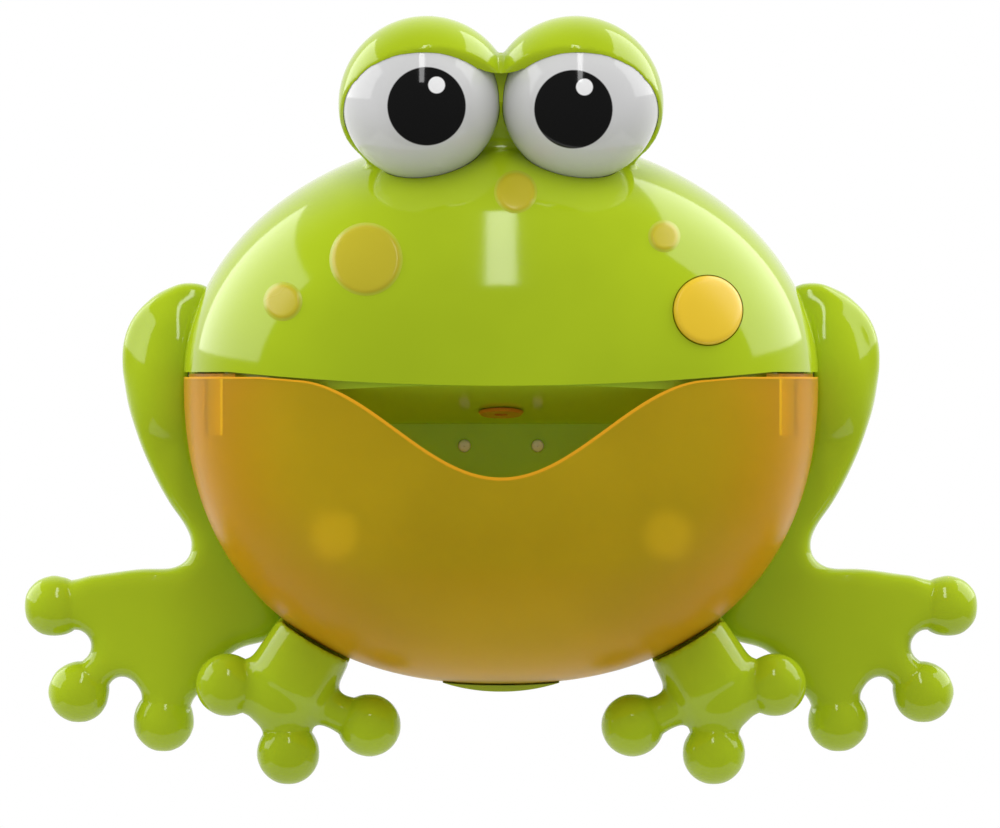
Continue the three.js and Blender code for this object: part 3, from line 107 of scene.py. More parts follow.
soft_box("left_soft_box", azimuth=-108, elevation=26, width=1.1, height=0.62, power=4.6)
soft_box("right_soft_box", azimuth=112, elevation=33, width=1.0, height=0.8, power=5.4)
soft_box("strip_light", azimuth=0, elevation=52, width=0.10, height=0.72, power=1.4)

# The room is white to the camera. Matt surfaces get even light, a little more from above; a glossy surface
# mirrors a room that is dim on the camera's side and white behind the frog.
AMBIENT = 0.66
TOP_SHARE = 0.3
DIM_SIDE = 0.1
WHITE_SIDE = 0.95
world = bpy.data.worlds.new("white_room")
bpy.context.scene.world = world
world.use_nodes = True
room = world.node_tree
rays = room.nodes.new("ShaderNodeLightPath").outputs
way_out = room.nodes.new("ShaderNodeTexCoord")
way_parts = room.nodes.new("ShaderNodeSeparateXYZ")
feed(room, way_parts.inputs["Vector"], way_out.outputs["Generated"])
overhead = maths(room, "MULTIPLY_ADD", way_parts.outputs["Z"], AMBIENT * TOP_SHARE, AMBIENT)
walls = ranged(room, way_parts.outputs["Y"], 0, WHITE_SIDE, DIM_SIDE, 1, smooth=True)
white = maths(room, "MAXIMUM", walls, rays["Is Camera Ray"])
let_through = maths(room, "MULTIPLY", overhead, rays["Is Transmission Ray"])
bright = maths(room, "MAXIMUM", white, let_through)
seen = maths(room, "MAXIMUM", rays["Is Camera Ray"], rays["Is Glossy Ray"])
seen = maths(room, "MAXIMUM", seen, rays["Is Transmission Ray"])
sky = room.nodes["Background"]
feed(room, sky.inputs["Color"], (1, 1, 1, 1))
feed(room, sky.inputs["Strength"], ranged(room, seen, 0, 1, overhead, bright))

# The floor lies well below the frog, because the toy hangs on a wall; it is pale and takes a faint shadow.
FLOOR_SIZE = 1.2
FLOOR_PLACE = (0, 0.38, -0.34)
FLOOR_WHITE_SHARE = 0.8
bpy.ops.mesh.primitive_plane_add(size=FLOOR_SIZE, location=FLOOR_PLACE)
floor = bpy.context.object
floor.name = "floor"
floor_paint = bpy.data.materials.new("floor_paint")
floor_paint.use_nodes = True
floor_tree = floor_paint.node_tree
floor_matt = floor_tree.nodes["Principled BSDF"]
floor_matt.inputs["Base Color"].default_value = (0.6, 0.6, 0.6, 1)
floor_matt.inputs["Roughness"].default_value = 0.9
floor_white = floor_tree.nodes.new("ShaderNodeEmission")
floor_rays = floor_tree.nodes.new("ShaderNodeLightPath").outputs
floor_seen = maths(floor_tree, "MAXIMUM", floor_rays["Is Camera Ray"], floor_rays["Is Transmission Ray"])
floor_mix = floor_tree.nodes.new("ShaderNodeMixShader")
feed(floor_tree, floor_mix.inputs["Fac"], maths(floor_tree, "MULTIPLY", floor_seen, FLOOR_WHITE_SHARE))
feed(floor_tree, floor_mix.inputs[1], floor_matt.outputs["BSDF"])
feed(floor_tree, floor_mix.inputs[2], floor_white.outputs["Emission"])
feed(floor_tree, floor_tree.nodes["Material Output"].inputs["Surface"], floor_mix.outputs["Shader"])
floor.data.materials.append(floor_paint)


# Rear shell: the lime back half of the case, an open moulded dish. Its flat back carries the battery pocket,
# six screw wells, four holes for the suction cups and the speaker's grille. A low ring inside its rim closes
# the seam to the head, and a thin ledge shows under the tray.
FAR_SIDE = 120
FAR_FRONT = -150
FAR_BACK = 50
FAR_TOP = 150
ONE_METRE = 1000
BODY_HALF_WIDTH = 76.2
HEAD_RISE = 59
TRAY_DROP = 73.5
TRAY_FULLNESS = 2.3
MOUTH_LEVEL = 12.5
SEAM_Y = -30
BACK_Y = -8
REAR_RIM_Y = -29.7
REAR_INSET = 1.2
REAR_WALL = 2.4
REAR_EDGE = 2.2
INNER_Y = BACK_Y - REAR_WALL
PAST_INNER_Y = INNER_Y - 0.5
BOSS_ROOT_Y = -8.4
POST_ROOT_Y = -9
REGISTER_INSET = 2.7
REGISTER_WALL = 1.5
REGISTER_BACK = -20
REGISTER_FRONT = -31.8
LEDGE_HALF = 14
LEDGE_DEPTH = 1.5
LEDGE_GAP = 0.3
LEDGE_TIP = 0.01
LEDGE_ROOT = 3
LEDGE_FRONT = -36
LEDGE_STEPS = 32
POCKET_HALF = 27.95
POCKET_OUTER_HALF = 30.3
POCKET_LOW = -28.8
POCKET_HIGH = 16.8
POCKET_FRONT = -25.8
DOOR_HALF = 29.35
DOOR_LOW = -30.2
DOOR_HIGH = 18.2
DOOR_FRONT = -10.2
DOOR_TAB_HALF = 6
DOOR_TAB_TOP = 27.2
DOOR_GAP = 0.3
DOOR_SCREW_Z = 22.7
DOOR_SCREW_HOLE_END = -17
DOOR_BOSS_HALF = 8.4
DOOR_BOSS_FRONT = -19.3
DOOR_BOSS_LOW = -6
DOOR_BOSS_TOP = 29.6
SCREW_HOLE = 1.7
SCREW_HEAD_HOLE = 3.3
SCREW_WELL = 4.5
SCREW_WELL_FLOOR = -27.1
SCREW_PLACES = [(-36, 47), (36, 47), (-64.5, -9), (-26, -48), (64.5, -9), (26, -48)]
CUP_HOLE = 4.3
CUP_PLACES = [(-44.96, 32), (44.96, 32), (-44.96, -32), (44.96, -32)]
BLOWER_Z = 38
BLOWER_BORE = 10.5
BLOWER_RING_FRONT = -33.7
SPEAKER_X = -47
SPEAKER_Z = 3
SPEAKER_BORE = 11.8
SPEAKER_RING_FRONT = -14.4
RING_WALL = 1.2
GRILLE_HOLES = 6
GRILLE_HOLE = 1.2
GRILLE_CIRCLE = 5
PILLAR = 2.5
PILLARS = [(42.4, 21.1, -46.3), (56.4, 36.1, -46.3), (-21, BLOWER_Z, -43.7), (21, BLOWER_Z, -43.7)]
CRADLE_LEFT = 49.1
CRADLE_RIGHT = 58
CRADLE_FRONT = -22.7
CRADLE_LOW = -28.3
CRADLE_TOP = -21.7
LIME = (0.42, 0.56, 0.012)
FLOW_SCALE = 22
SKIN_SCALE = 700
SKIN_DEPTH = 0.2
GLOSS_DRIFT = 0.15


def only(piece):
    """Makes one piece the only one that is selected, and the active one."""
    bpy.ops.object.select_all(action="DESELECT")
    piece.select_set(True)
    bpy.context.view_layer.objects.active = piece


def settle(piece):
    """Puts a piece's place, turn and size into its mesh."""
    only(piece)
    bpy.ops.object.transform_apply(location=True, rotation=True, scale=True)
    return piece


def worked(piece, kind, **settings):
    """Adds a modifier to a piece and applies it."""
    only(piece)
    modifier = piece.modifiers.new(kind.lower(), kind)
    for setting, value in settings.items():
        setattr(modifier, setting, value)
    bpy.ops.object.modifier_apply(modifier=modifier.name)
    return piece


def eased(piece, width, segments):
    """Rounds the sharp edges of a piece."""
    return worked(piece, "BEVEL", width=width * MM, segments=segments, limit_method="ANGLE",
                  angle_limit=math.radians(60))


def fused(piece, operation, tools):
    """Joins or cuts a piece by solid tools, which are then thrown away."""
    for tool in tools:
        worked(piece, "BOOLEAN", operation=operation, object=tool, solver="MANIFOLD")
        bpy.data.objects.remove(tool)
    return piece


def block(x0, x1, y0, y1, z0, z1):
    """A plain block between two corners, in millimetres."""
    middle = Vector(((x0 + x1) / 2, (y0 + y1) / 2, (z0 + z1) / 2)) * MM
    bpy.ops.mesh.primitive_cube_add(size=1, location=middle)
    piece = bpy.context.object
    piece.scale = Vector((abs(x1 - x0), abs(y1 - y0), abs(z1 - z0))) * MM
    return settle(piece)


def rod(radius, y0, y1, x, z, sides=48):
    """A round bar along Y, in millimetres."""
    bpy.ops.mesh.primitive_cylinder_add(vertices=sides, radius=radius * MM, depth=abs(y1 - y0) * MM,
                                        location=Vector((x, (y0 + y1) / 2, z)) * MM,
                                        rotation=(math.pi / 2, 0, 0))
    return settle(bpy.context.object)


def body_edge(angle, inset):
    """A point of the frog's outline seen from the front, drawn in by an inset, in millimetres."""
    across, up = math.cos(angle), math.sin(angle)
    power = 1 if up >= 0 else 2 / TRAY_FULLNESS
    rise = (HEAD_RISE if up >= 0 else TRAY_DROP) - inset
    x = (BODY_HALF_WIDTH - inset) * math.copysign(abs(across) ** power, across)
    z = MOUTH_LEVEL + rise * math.copysign(abs(up) ** power, up)
    return x, z


def outline_slab(inset, y0, y1):
    """The frog's outline as a solid slab between two depths, shaped from a wide rod by its points' angles."""
    slab = rod(ONE_METRE, y0, y1, 0, 0, sides=180)
    for vertex in slab.data.vertices:
        x, z = body_edge(math.atan2(vertex.co.z, vertex.co.x), inset)
        vertex.co = (x * MM, vertex.co.y, z * MM)
    return slab


def prism(points, y0, y1):
    """A flat outline seen from the front as a slab between two depths. The number of its points is odd or a
    multiple of four, so that each point of the rod it is shaped from finds its own."""
    count = len(points)
    slab = rod(ONE_METRE, y0, y1, 0, 0, sides=count)
    for vertex in slab.data.vertices:
        step = round(math.atan2(vertex.co.z, vertex.co.x) / (2 * math.pi) * count) % count
        vertex.co = (points[step][0] * MM, vertex.co.y, points[step][1] * MM)
    return slab


def crescent(drop, y0, y1):
    """The ledge's outline between two depths: a crescent under the body, whose top lies a drop below it."""
    lower, upper = [], []
    for step in range(LEDGE_STEPS):
        x = LEDGE_HALF * (2 * step / (LEDGE_STEPS - 1) - 1)
        share = 1 - abs(x / BODY_HALF_WIDTH) ** TRAY_FULLNESS
        edge = MOUTH_LEVEL - TRAY_DROP * share ** (1 / TRAY_FULLNESS)
        belly = LEDGE_DEPTH * (1 - (x / LEDGE_HALF) ** 2)
        lower.append((x, edge - LEDGE_GAP - LEDGE_TIP - belly))
        upper.append((x, edge - drop))
    return prism(lower + upper[::-1], y0, y1)


def dressed(piece, name, material, body):
    """Names a finished piece, smooths it where it is round, paints it and sets it on its body."""
    piece.name = name
    piece.data.materials.clear()
    piece.data.materials.append(material)
    only(piece)
    bpy.ops.object.shade_smooth_by_angle(angle=math.radians(40))
    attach(piece, body)
    return piece


def moulded_plastic(name, colour, roughness, drift=0.06, grain=0.02):
    """Moulded plastic: a slow drift of colour and gloss, as from the flow in the mould, and a fine skin."""
    material = bpy.data.materials.new(name)
    material.use_nodes = True
    tree = material.node_tree
    shader = tree.nodes["Principled BSDF"]
    shader.inputs["IOR"].default_value = 1.5
    place = tree.nodes.new("ShaderNodeTexCoord").outputs["Object"]
    flow = tree.nodes.new("ShaderNodeTexNoise")
    flow.inputs["Scale"].default_value = FLOW_SCALE
    flow.inputs["Detail"].default_value = 3
    tint = tree.nodes.new("ShaderNodeValToRGB")
    tint.color_ramp.interpolation = "EASE"
    dark, pale = tint.color_ramp.elements
    dark.position = 0.3
    dark.color = (*(c * (1 - drift) for c in colour), 1)
    pale.position = 0.7
    pale.color = (*(min(1, c * (1 + drift)) for c in colour), 1)
    shiniest, dullest = roughness * (1 - GLOSS_DRIFT), roughness * (1 + GLOSS_DRIFT)
    gloss = ranged(tree, flow.outputs["Fac"], 0, 1, shiniest, dullest)
    skin = tree.nodes.new("ShaderNodeTexNoise")
    skin.inputs["Scale"].default_value = SKIN_SCALE
    skin.inputs["Detail"].default_value = 2
    bump = tree.nodes.new("ShaderNodeBump")
    bump.inputs["Strength"].default_value = grain
    bump.inputs["Distance"].default_value = SKIN_DEPTH * MM
    feed(tree, flow.inputs["Vector"], place)
    feed(tree, skin.inputs["Vector"], place)
    feed(tree, tint.inputs["Fac"], flow.outputs["Fac"])
    feed(tree, bump.inputs["Height"], skin.outputs["Fac"])
    feed(tree, shader.inputs["Base Color"], tint.outputs["Color"])
    feed(tree, shader.inputs["Roughness"], gloss)
    feed(tree, shader.inputs["Normal"], bump.outputs["Normal"])
    return material


lime_satin = moulded_plastic("lime_satin_plastic", LIME, roughness=0.34, grain=0.06)
rear = eased(outline_slab(REAR_INSET, BACK_Y, REAR_RIM_Y), REAR_EDGE, segments=4)
fused(rear, "DIFFERENCE", [outline_slab(REAR_INSET + REAR_WALL, INNER_Y, FAR_FRONT)])
register = outline_slab(REGISTER_INSET, REGISTER_BACK, REGISTER_FRONT)
fused(register, "DIFFERENCE", [outline_slab(REGISTER_INSET + REGISTER_WALL, FAR_BACK, FAR_FRONT)])
ledge = crescent(LEDGE_GAP, LEDGE_FRONT, POST_ROOT_Y)
ledge_root = crescent(-LEDGE_ROOT, REAR_RIM_Y, POST_ROOT_Y)
pocket = block(-POCKET_OUTER_HALF, POCKET_OUTER_HALF, BOSS_ROOT_Y, POCKET_FRONT - REAR_WALL,
               POCKET_LOW - REAR_WALL, POCKET_HIGH + REAR_WALL)
door_boss = block(-DOOR_BOSS_HALF, DOOR_BOSS_HALF, BOSS_ROOT_Y, DOOR_BOSS_FRONT, DOOR_BOSS_LOW, DOOR_BOSS_TOP)
wells = [rod(SCREW_WELL, BOSS_ROOT_Y, REAR_RIM_Y, x, z) for x, z in SCREW_PLACES]
pillars = [rod(PILLAR, POST_ROOT_Y, front, x, z) for x, z, front in PILLARS]
blower_ring = rod(BLOWER_BORE + RING_WALL, POST_ROOT_Y, BLOWER_RING_FRONT, 0, BLOWER_Z)
speaker_ring = rod(SPEAKER_BORE + RING_WALL, POST_ROOT_Y, SPEAKER_RING_FRONT, SPEAKER_X, SPEAKER_Z)
cradle = block(CRADLE_LEFT, CRADLE_RIGHT, POST_ROOT_Y, CRADLE_FRONT, CRADLE_LOW, CRADLE_TOP)
fused(rear, "UNION", [register, ledge_root, ledge, pocket, door_boss, blower_ring, speaker_ring, cradle,
                      *wells, *pillars])
door_half = DOOR_HALF + DOOR_GAP
door_tab_half = DOOR_TAB_HALF + DOOR_GAP
door_seat = DOOR_FRONT - DOOR_GAP
cuts = [block(-POCKET_HALF, POCKET_HALF, FAR_BACK, POCKET_FRONT, POCKET_LOW, POCKET_HIGH),
        block(-door_half, door_half, FAR_BACK, door_seat, DOOR_LOW - DOOR_GAP, DOOR_HIGH + DOOR_GAP),
        block(-door_tab_half, door_tab_half, FAR_BACK, door_seat, 0, DOOR_TAB_TOP + DOOR_GAP),
        rod(SCREW_HOLE, FAR_BACK, DOOR_SCREW_HOLE_END, 0, DOOR_SCREW_Z),
        rod(BLOWER_BORE, INNER_Y, FAR_FRONT, 0, BLOWER_Z),
        rod(SPEAKER_BORE, INNER_Y, FAR_FRONT, SPEAKER_X, SPEAKER_Z)]
cuts += [rod(SCREW_HEAD_HOLE, FAR_BACK, SCREW_WELL_FLOOR, x, z) for x, z in SCREW_PLACES]
cuts += [rod(SCREW_HOLE, FAR_BACK, FAR_FRONT, x, z, sides=24) for x, z in SCREW_PLACES]
cuts += [rod(CUP_HOLE, FAR_BACK, PAST_INNER_Y, x, z) for x, z in CUP_PLACES]
for hole in range(GRILLE_HOLES):
    turn = hole * 2 * math.pi / GRILLE_HOLES
    x = SPEAKER_X + GRILLE_CIRCLE * math.cos(turn)
    z = SPEAKER_Z + GRILLE_CIRCLE * math.sin(turn)
    cuts.append(rod(GRILLE_HOLE, FAR_BACK, PAST_INNER_Y, x, z, sides=24))
fused(rear, "DIFFERENCE", cuts)
dressed(rear, "rear_case", lime_satin, "frog_body")
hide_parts("rear_shell")


# Hind legs: one lime moulding on each side, a full thigh running down into a flat foot with three toe balls.
# They are glossy, and pegged to the side of the rear shell with a fine gap all along.
HIND_FRONT = -22.5
HIND_BACK = -9.5
HIND_Y = (HIND_FRONT + HIND_BACK) / 2
HIND_EDGE = 3.4
HIND_SEAT = 1.1
HIND_TOE = 7.5
HIND_TOES = [(31.3, -54.9), (25.4, -75.6), (5, -82.6)]
HIND_OUTLINE = [
    (-8, 20), (-1.1, 23.1), (5.4, 20.6), (10.9, 16.5), (14, 11.3), (15, 4.5), (14, -3.6), (11.6, -13),
    (7.8, -22.3), (3.2, -30.7), (-0.1, -35.3), (-1.9, -40), (-0.1, -44.4), (10.9, -45.9),
    (19.3, -47.1), (25.8, -48.5), (29.5, -53), (27.5, -58.5), (22.2, -63.4), (23.4, -69),
    (21.5, -73.5), (14, -71.6), (9, -77), (3, -79.5), (-3, -76.4), (-12.5, -65.4), (-20, -63.2), (-23.2, -61),
    (-23.2, -54), (-16, -38), (-12, -10)]
THIGH = 12.5
THIGH_PLACE = (78.2, 13.5)
THIGH_STRETCH = 1.68
SHIN = 8.8
SHIN_TOP = (79.9, 6)
ANKLE = 4.6
ANKLE_PLACE = (69.2, -27)
TRAY_SPACE = 0.6
TRAY_SPACE_Y = -29.4
CLOSE = 0.7
MERGE = 0.01
lime_gloss = moulded_plastic("lime_gloss_plastic", LIME, roughness=0.09)


def ball(radius, x, y, z, squeeze=(1, 1, 1), around=64):
    """A ball with its poles up and down, which may be squeezed along the axes, in millimetres."""
    bpy.ops.mesh.primitive_uv_sphere_add(segments=around, ring_count=around // 2, radius=radius * MM,
                                         location=Vector((x, y, z)) * MM)
    piece = bpy.context.object
    piece.scale = squeeze
    return settle(piece)


def bar(radius, start, end, y, end_radius=None):
    """A round bar between two points at one depth, which may taper, in millimetres."""
    along = Vector((end[0] - start[0], 0, end[1] - start[1]))
    middle = Vector(((end[0] + start[0]) / 2, y, (end[1] + start[1]) / 2))
    bpy.ops.mesh.primitive_cone_add(vertices=64, radius1=radius * MM, radius2=(end_radius or radius) * MM,
                                    depth=along.length * MM, location=middle * MM,
                                    rotation=along.to_track_quat("Z", "Y").to_euler())
    return settle(bpy.context.object)


def joined(piece, parts):
    """Takes the meshes of other parts into a piece's own mesh."""
    only(piece)
    for part in parts:
        part.select_set(True)
    bpy.ops.object.join()
    return piece


def remoulded(piece, voxel, rounds):
    """Runs a joined form together into one skin, with its inner corners filled and its edges eased."""
    worked(piece, "REMESH", mode="VOXEL", voxel_size=voxel * MM, adaptivity=0)
    worked(piece, "SMOOTH", factor=0.5, iterations=rounds)
    return piece


def body_space(seat, seam):
    """What a limb is cut by: the rear shell, drawn in by a seat, and the room that the tray slides in."""
    return [outline_slab(seat, FAR_BACK, seam), outline_slab(-TRAY_SPACE, TRAY_SPACE_Y, FAR_FRONT)]


def ball_goal(radius, centre):
    """Gives the point of a ball's surface that lies nearest to a place."""
    def goal(place):
        return centre + (place - centre).normalized() * radius
    return goal


def trued(piece, *goals):
    """Draws points that lie close to a true surface on to it, so that reflections run clean on it."""
    for vertex in piece.data.vertices:
        place = vertex.co / MM
        for goal in goals:
            target = goal(place)
            gap = (target - place).length if target else CLOSE
            if gap < CLOSE:
                share = gap / CLOSE
                pull = 1 - share * share * (3 - 2 * share)
                vertex.co = (place + (target - place) * pull) * MM
                break
    return piece


def outward(piece, merge=0):
    """Turns a mesh's faces outward, after merging points that lie within a distance of each other."""
    only(piece)
    bpy.ops.object.mode_set(mode="EDIT")
    bpy.ops.mesh.select_all(action="SELECT")
    if merge:
        bpy.ops.mesh.remove_doubles(threshold=merge * MM)
    bpy.ops.mesh.normals_make_consistent(inside=False)
    bpy.ops.object.mode_set(mode="OBJECT")
    return piece


def twin(piece, shift=(0, 0, 0), mirror=False):
    """A copy with a mesh of its own, moved or turned over to the frog's other side."""
    copy = bpy.data.objects.new(piece.name, piece.data.copy())
    bpy.context.scene.collection.objects.link(copy)
    copy.location = Vector(shift) * MM
    copy.scale.x = -1 if mirror else 1
    settle(copy)
    return outward(copy) if mirror else copy


def both_limbs(piece, name, node):
    """Finishes a limb of the frog's right side and its mirror twin on the left."""
    for side, limb in (("right", piece), ("left", twin(piece, mirror=True))):
        dressed(limb, f"{side}_{name}", lime_gloss, "frog_body")
        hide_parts(f"{side}_{node}")


hind_curve = bpy.data.curves.new("hind_leg", "CURVE")
hind_curve.dimensions = "2D"
hind_curve.fill_mode = "BOTH"
hind_curve.resolution_u = 8
hind_curve.extrude = ((HIND_BACK - HIND_FRONT) / 2 - HIND_EDGE) * MM
hind_curve.bevel_depth = HIND_EDGE * MM
hind_curve.bevel_resolution = 5
hind_curve.offset = -HIND_EDGE * MM
hind_edge = hind_curve.splines.new("BEZIER")
hind_edge.bezier_points.add(len(HIND_OUTLINE) - 1)
hind_edge.use_cyclic_u = True
for point, (out, up) in zip(hind_edge.bezier_points, HIND_OUTLINE):
    point.co = Vector((BODY_HALF_WIDTH + out, MOUTH_LEVEL + up, 0)) * MM
    point.handle_left_type = "AUTO"
    point.handle_right_type = "AUTO"
hind = bpy.data.objects.new("hind_leg", hind_curve)
bpy.context.scene.collection.objects.link(hind)
only(hind)
bpy.ops.object.convert(target="MESH")
hind.rotation_euler = (math.pi / 2, 0, 0)
hind.location.y = HIND_Y * MM
outward(settle(hind), merge=MERGE)
toe_places = [Vector((BODY_HALF_WIDTH + out, HIND_Y, MOUTH_LEVEL + up)) for out, up in HIND_TOES]
toes = [ball(HIND_TOE, *place) for place in toe_places]
thigh = ball(THIGH, THIGH_PLACE[0], HIND_Y, THIGH_PLACE[1], squeeze=(1, 1, THIGH_STRETCH))
shin = bar(SHIN, SHIN_TOP, ANKLE_PLACE, HIND_Y, end_radius=ANKLE)
remoulded(joined(hind, [*toes, thigh, shin]), voxel=1.0, rounds=22)
fused(hind, "DIFFERENCE", body_space(HIND_SEAT, SEAM_Y))
remoulded(hind, voxel=0.7, rounds=4)
trued(hind, *(ball_goal(HIND_TOE, place) for place in toe_places))
both_limbs(hind, "leg", "hind_leg")


# Front feet: a stub of a leg cut off along the underside of the tray, a round palm and three toe balls on
# short necks, moulded in one with the same glossy lime and pegged up into the rear shell.
FRONT_Y = -31
FRONT_HIP = 9.6
FRONT_HIP_PLACE = (41.9, -45.3)
FRONT_LEG = 11.2
FRONT_PALM = 10.8
FRONT_PALM_PLACE = (51.8, -62.4)
FRONT_PALM_FLAT = 0.85
FRONT_SEAT = 0.9
FRONT_NECK = 4.6
FRONT_TOE = 7.6
FRONT_TOES = [(65.8, -61.2), (51.1, -77.6), (31.6, -70.9)]
foot = bar(FRONT_HIP, FRONT_HIP_PLACE, FRONT_PALM_PLACE, FRONT_Y, end_radius=FRONT_LEG)
foot_parts = [ball(FRONT_PALM, FRONT_PALM_PLACE[0], FRONT_Y, FRONT_PALM_PLACE[1],
                   squeeze=(1, FRONT_PALM_FLAT, 1))]
for toe in FRONT_TOES:
    foot_parts.append(ball(FRONT_TOE, toe[0], FRONT_Y, toe[1]))
    foot_parts.append(bar(FRONT_NECK, FRONT_PALM_PLACE, toe, FRONT_Y))
remoulded(joined(foot, foot_parts), voxel=0.9, rounds=16)
fused(foot, "DIFFERENCE", body_space(FRONT_SEAT, TRAY_SPACE_Y))
remoulded(foot, voxel=0.7, rounds=3)
trued(foot, *(ball_goal(FRONT_TOE, Vector((x, FRONT_Y, z))) for x, z in FRONT_TOES))
both_limbs(foot, "foot", "front_foot")


# Suction cups: clear soft vinyl, moulded in one with a flat rim for the wall, a hollow dish, a neck through
# the rear shell and a mushroom head that snaps in behind it.
CUP_PROFILE = [(0, -12.9), (3.2, -12.9), (4, -12.5), (5.3, -11), (5.5, -10.7), (4, -10.7), (4, -7.7),
               (5.5, -7.7), (5.5, -6.6), (7.4, -5.2), (10.2, -3.4), (13, -1.9), (14.8, -1), (15, -0.6),
               (15, 0), (12.4, 0), (11.4, -0.8), (9.6, -1.9), (7.5, -2.7), (4, -3.2), (0, -3.4)]


def ringed(count, around, place_of):
    """A closed form of rings about an axis along Y, from a front point to a back point. The number of its
    ring and its way across and up tell where each point goes."""
    bpy.ops.mesh.primitive_uv_sphere_add(segments=around, ring_count=count - 1, radius=1,
                                         rotation=(math.pi / 2, 0, 0))
    form = settle(bpy.context.object)
    for vertex in form.data.vertices:
        way = vertex.co.normalized()
        ring = round(math.acos(max(-1, min(1, -way.y))) / math.pi * (count - 1))
        spread = max(math.hypot(way.x, way.z), 1e-9)
        vertex.co = place_of(ring, way.x / spread, way.z / spread)
    return form


def turned(profile, x=0, z=0, around=64):
    """A turned form about an axis along Y, from its front point to its back point (radius, y)."""
    def place_of(ring, across, up):
        radius, y = profile[ring]
        return Vector((x + radius * across, y, z + radius * up)) * MM
    return ringed(len(profile), around, place_of)


vinyl = moulded_plastic("clear_vinyl_moulding", (0.86, 0.9, 0.88), roughness=0.16)
vinyl.node_tree.nodes["Principled BSDF"].inputs["Transmission Weight"].default_value = 0.85
for number, (x, z) in enumerate(CUP_PLACES, 1):
    cup = turned(CUP_PROFILE, x, z)
    dressed(cup, f"wall_cup_{number}", vinyl, "frog_body")
    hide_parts(f"suction_cup_{number}")


# Case screws: six small plated pan-head screws with a cross recess, driven from behind into the head's two
# posts and the mouth liner's four bosses, at the bottom of their wells.
SCREW_LENGTH = 8.2
SCREW_SEAT_Y = -26.8
THREAD_CORE = 1.15
THREAD_CREST = 1.4
THREAD_PITCH = 0.5
THREAD_START = 1.1
THREAD_END = 0.5
PAN_HEAD = [(1.3, 0), (2.8, 0), (3, 0.25), (2.9, 0.8), (2.4, 1.15), (1.6, 1.3), (0, 1.3)]
CROSS_HALF = 1.8
CROSS_SLOT = 0.35
CROSS_FLOOR = 0.5
CROSS_TOP = 3


def screw_form(length):
    """A pan-head screw whose head sits on y = 0 and whose thread runs forward, with a cross in its head."""
    profile = [(0, -length), (0.5, -length + 0.5)]
    for thread in range(int((length - THREAD_START - THREAD_END) / THREAD_PITCH)):
        y = -length + THREAD_START + thread * THREAD_PITCH
        profile += [(THREAD_CORE, y), (THREAD_CREST, y + THREAD_PITCH / 2)]
    form = turned([*profile, (THREAD_CORE, -0.2), *PAN_HEAD], around=32)
    slots = [block(-across, across, CROSS_FLOOR, CROSS_TOP, -up, up)
             for across, up in ((CROSS_HALF, CROSS_SLOT), (CROSS_SLOT, CROSS_HALF))]
    return fused(form, "DIFFERENCE", slots)


def plated_steel(name, colour, roughness):
    """Plated steel: bright metal, a little brushed, with dull patches."""
    material = moulded_plastic(name, colour, roughness, drift=0.12, grain=0.1)
    material.node_tree.nodes["Principled BSDF"].inputs["Metallic"].default_value = 1
    return material


screw_plate = plated_steel("screw_plating", (0.62, 0.63, 0.64), roughness=0.3)
case_screw = screw_form(SCREW_LENGTH)
for number, (x, z) in enumerate(SCREW_PLACES, 1):
    copy = twin(case_screw, shift=(x, SCREW_SEAT_Y, z))
    dressed(copy, f"shell_screw_{number}", screw_plate, "frog_body")
    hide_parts(f"case_screw_{number}")
bpy.data.objects.remove(case_screw)


# Works inside the case: three cells with their contact plates, the circuit board with its push switch, the
# speaker, the blower and its duct, and the wand's gear motor and gears. They keep the shapes of the frame.
def painted(material, *names):
    """Gives nodes of the frame, which keep their own shape, a finish."""
    for name in names:
        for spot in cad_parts[name].material_slots:
            spot.material = material


painted(plated_steel("contact_plating", (0.66, 0.66, 0.62), roughness=0.28),
        "battery_contact_left", "battery_contact_right")
painted(plated_steel("motor_can_plating", (0.56, 0.57, 0.58), roughness=0.34), "blower_motor", "gear_motor")
painted(moulded_plastic("cell_sleeve", (0.045, 0.05, 0.065), roughness=0.25),
        "battery_cell_1", "battery_cell_2", "battery_cell_3")
painted(moulded_plastic("board_lacquer", (0.012, 0.13, 0.045), roughness=0.3, drift=0.2), "circuit_board")
painted(moulded_plastic("black_moulding", (0.014, 0.014, 0.015), roughness=0.4), "push_switch", "speaker")
painted(moulded_plastic("pale_moulding", (0.74, 0.74, 0.7), roughness=0.4), "blower_scroll", "air_duct")
painted(moulded_plastic("blue_moulding", (0.34, 0.54, 0.75), roughness=0.38), "impeller")
painted(moulded_plastic("gear_nylon", (0.8, 0.79, 0.74), roughness=0.45), "wand_gear", "drive_pinion")


# Mouth liner: the back wall and the sloping glossy ceiling of the mouth, in a lime painted brighter than the
# head's, as painted light for the shaded mouth, and darker on the ceiling, as painted shade under the head,
# with two white air jets in the wall and an amber plug clipped into the ceiling.
# Painted light and shade: the wall's lime is raised for light in the shaded mouth, and the ceiling's is
# lower, as painted shade.
LINER_WALL_LIT = (0.50, 0.84, 0.03)
LINER_CEILING_SHADE = (0.50, 0.74, 0.03, 1)
WALL_END_Y = -37
CEILING_START_Y = -42
JET_X = 8.8
JET_Z = -3.8
JET_PROFILE = [(0, -36.9), (0.15, -37), (0.22, -37.2), (0.7, -37.2), (1.1, -37.1), (1.35, -36.85),
               (1.45, -36.5), (1.45, -36.05), (1.25, -36.05), (1.25, -32.1), (0, -32.1)]


def places(tree):
    """Gives a point's own place on the object, as three separate outputs."""
    point = tree.nodes.new("ShaderNodeTexCoord")
    parts = tree.nodes.new("ShaderNodeSeparateXYZ")
    feed(tree, parts.inputs["Vector"], point.outputs["Object"])
    return parts.outputs


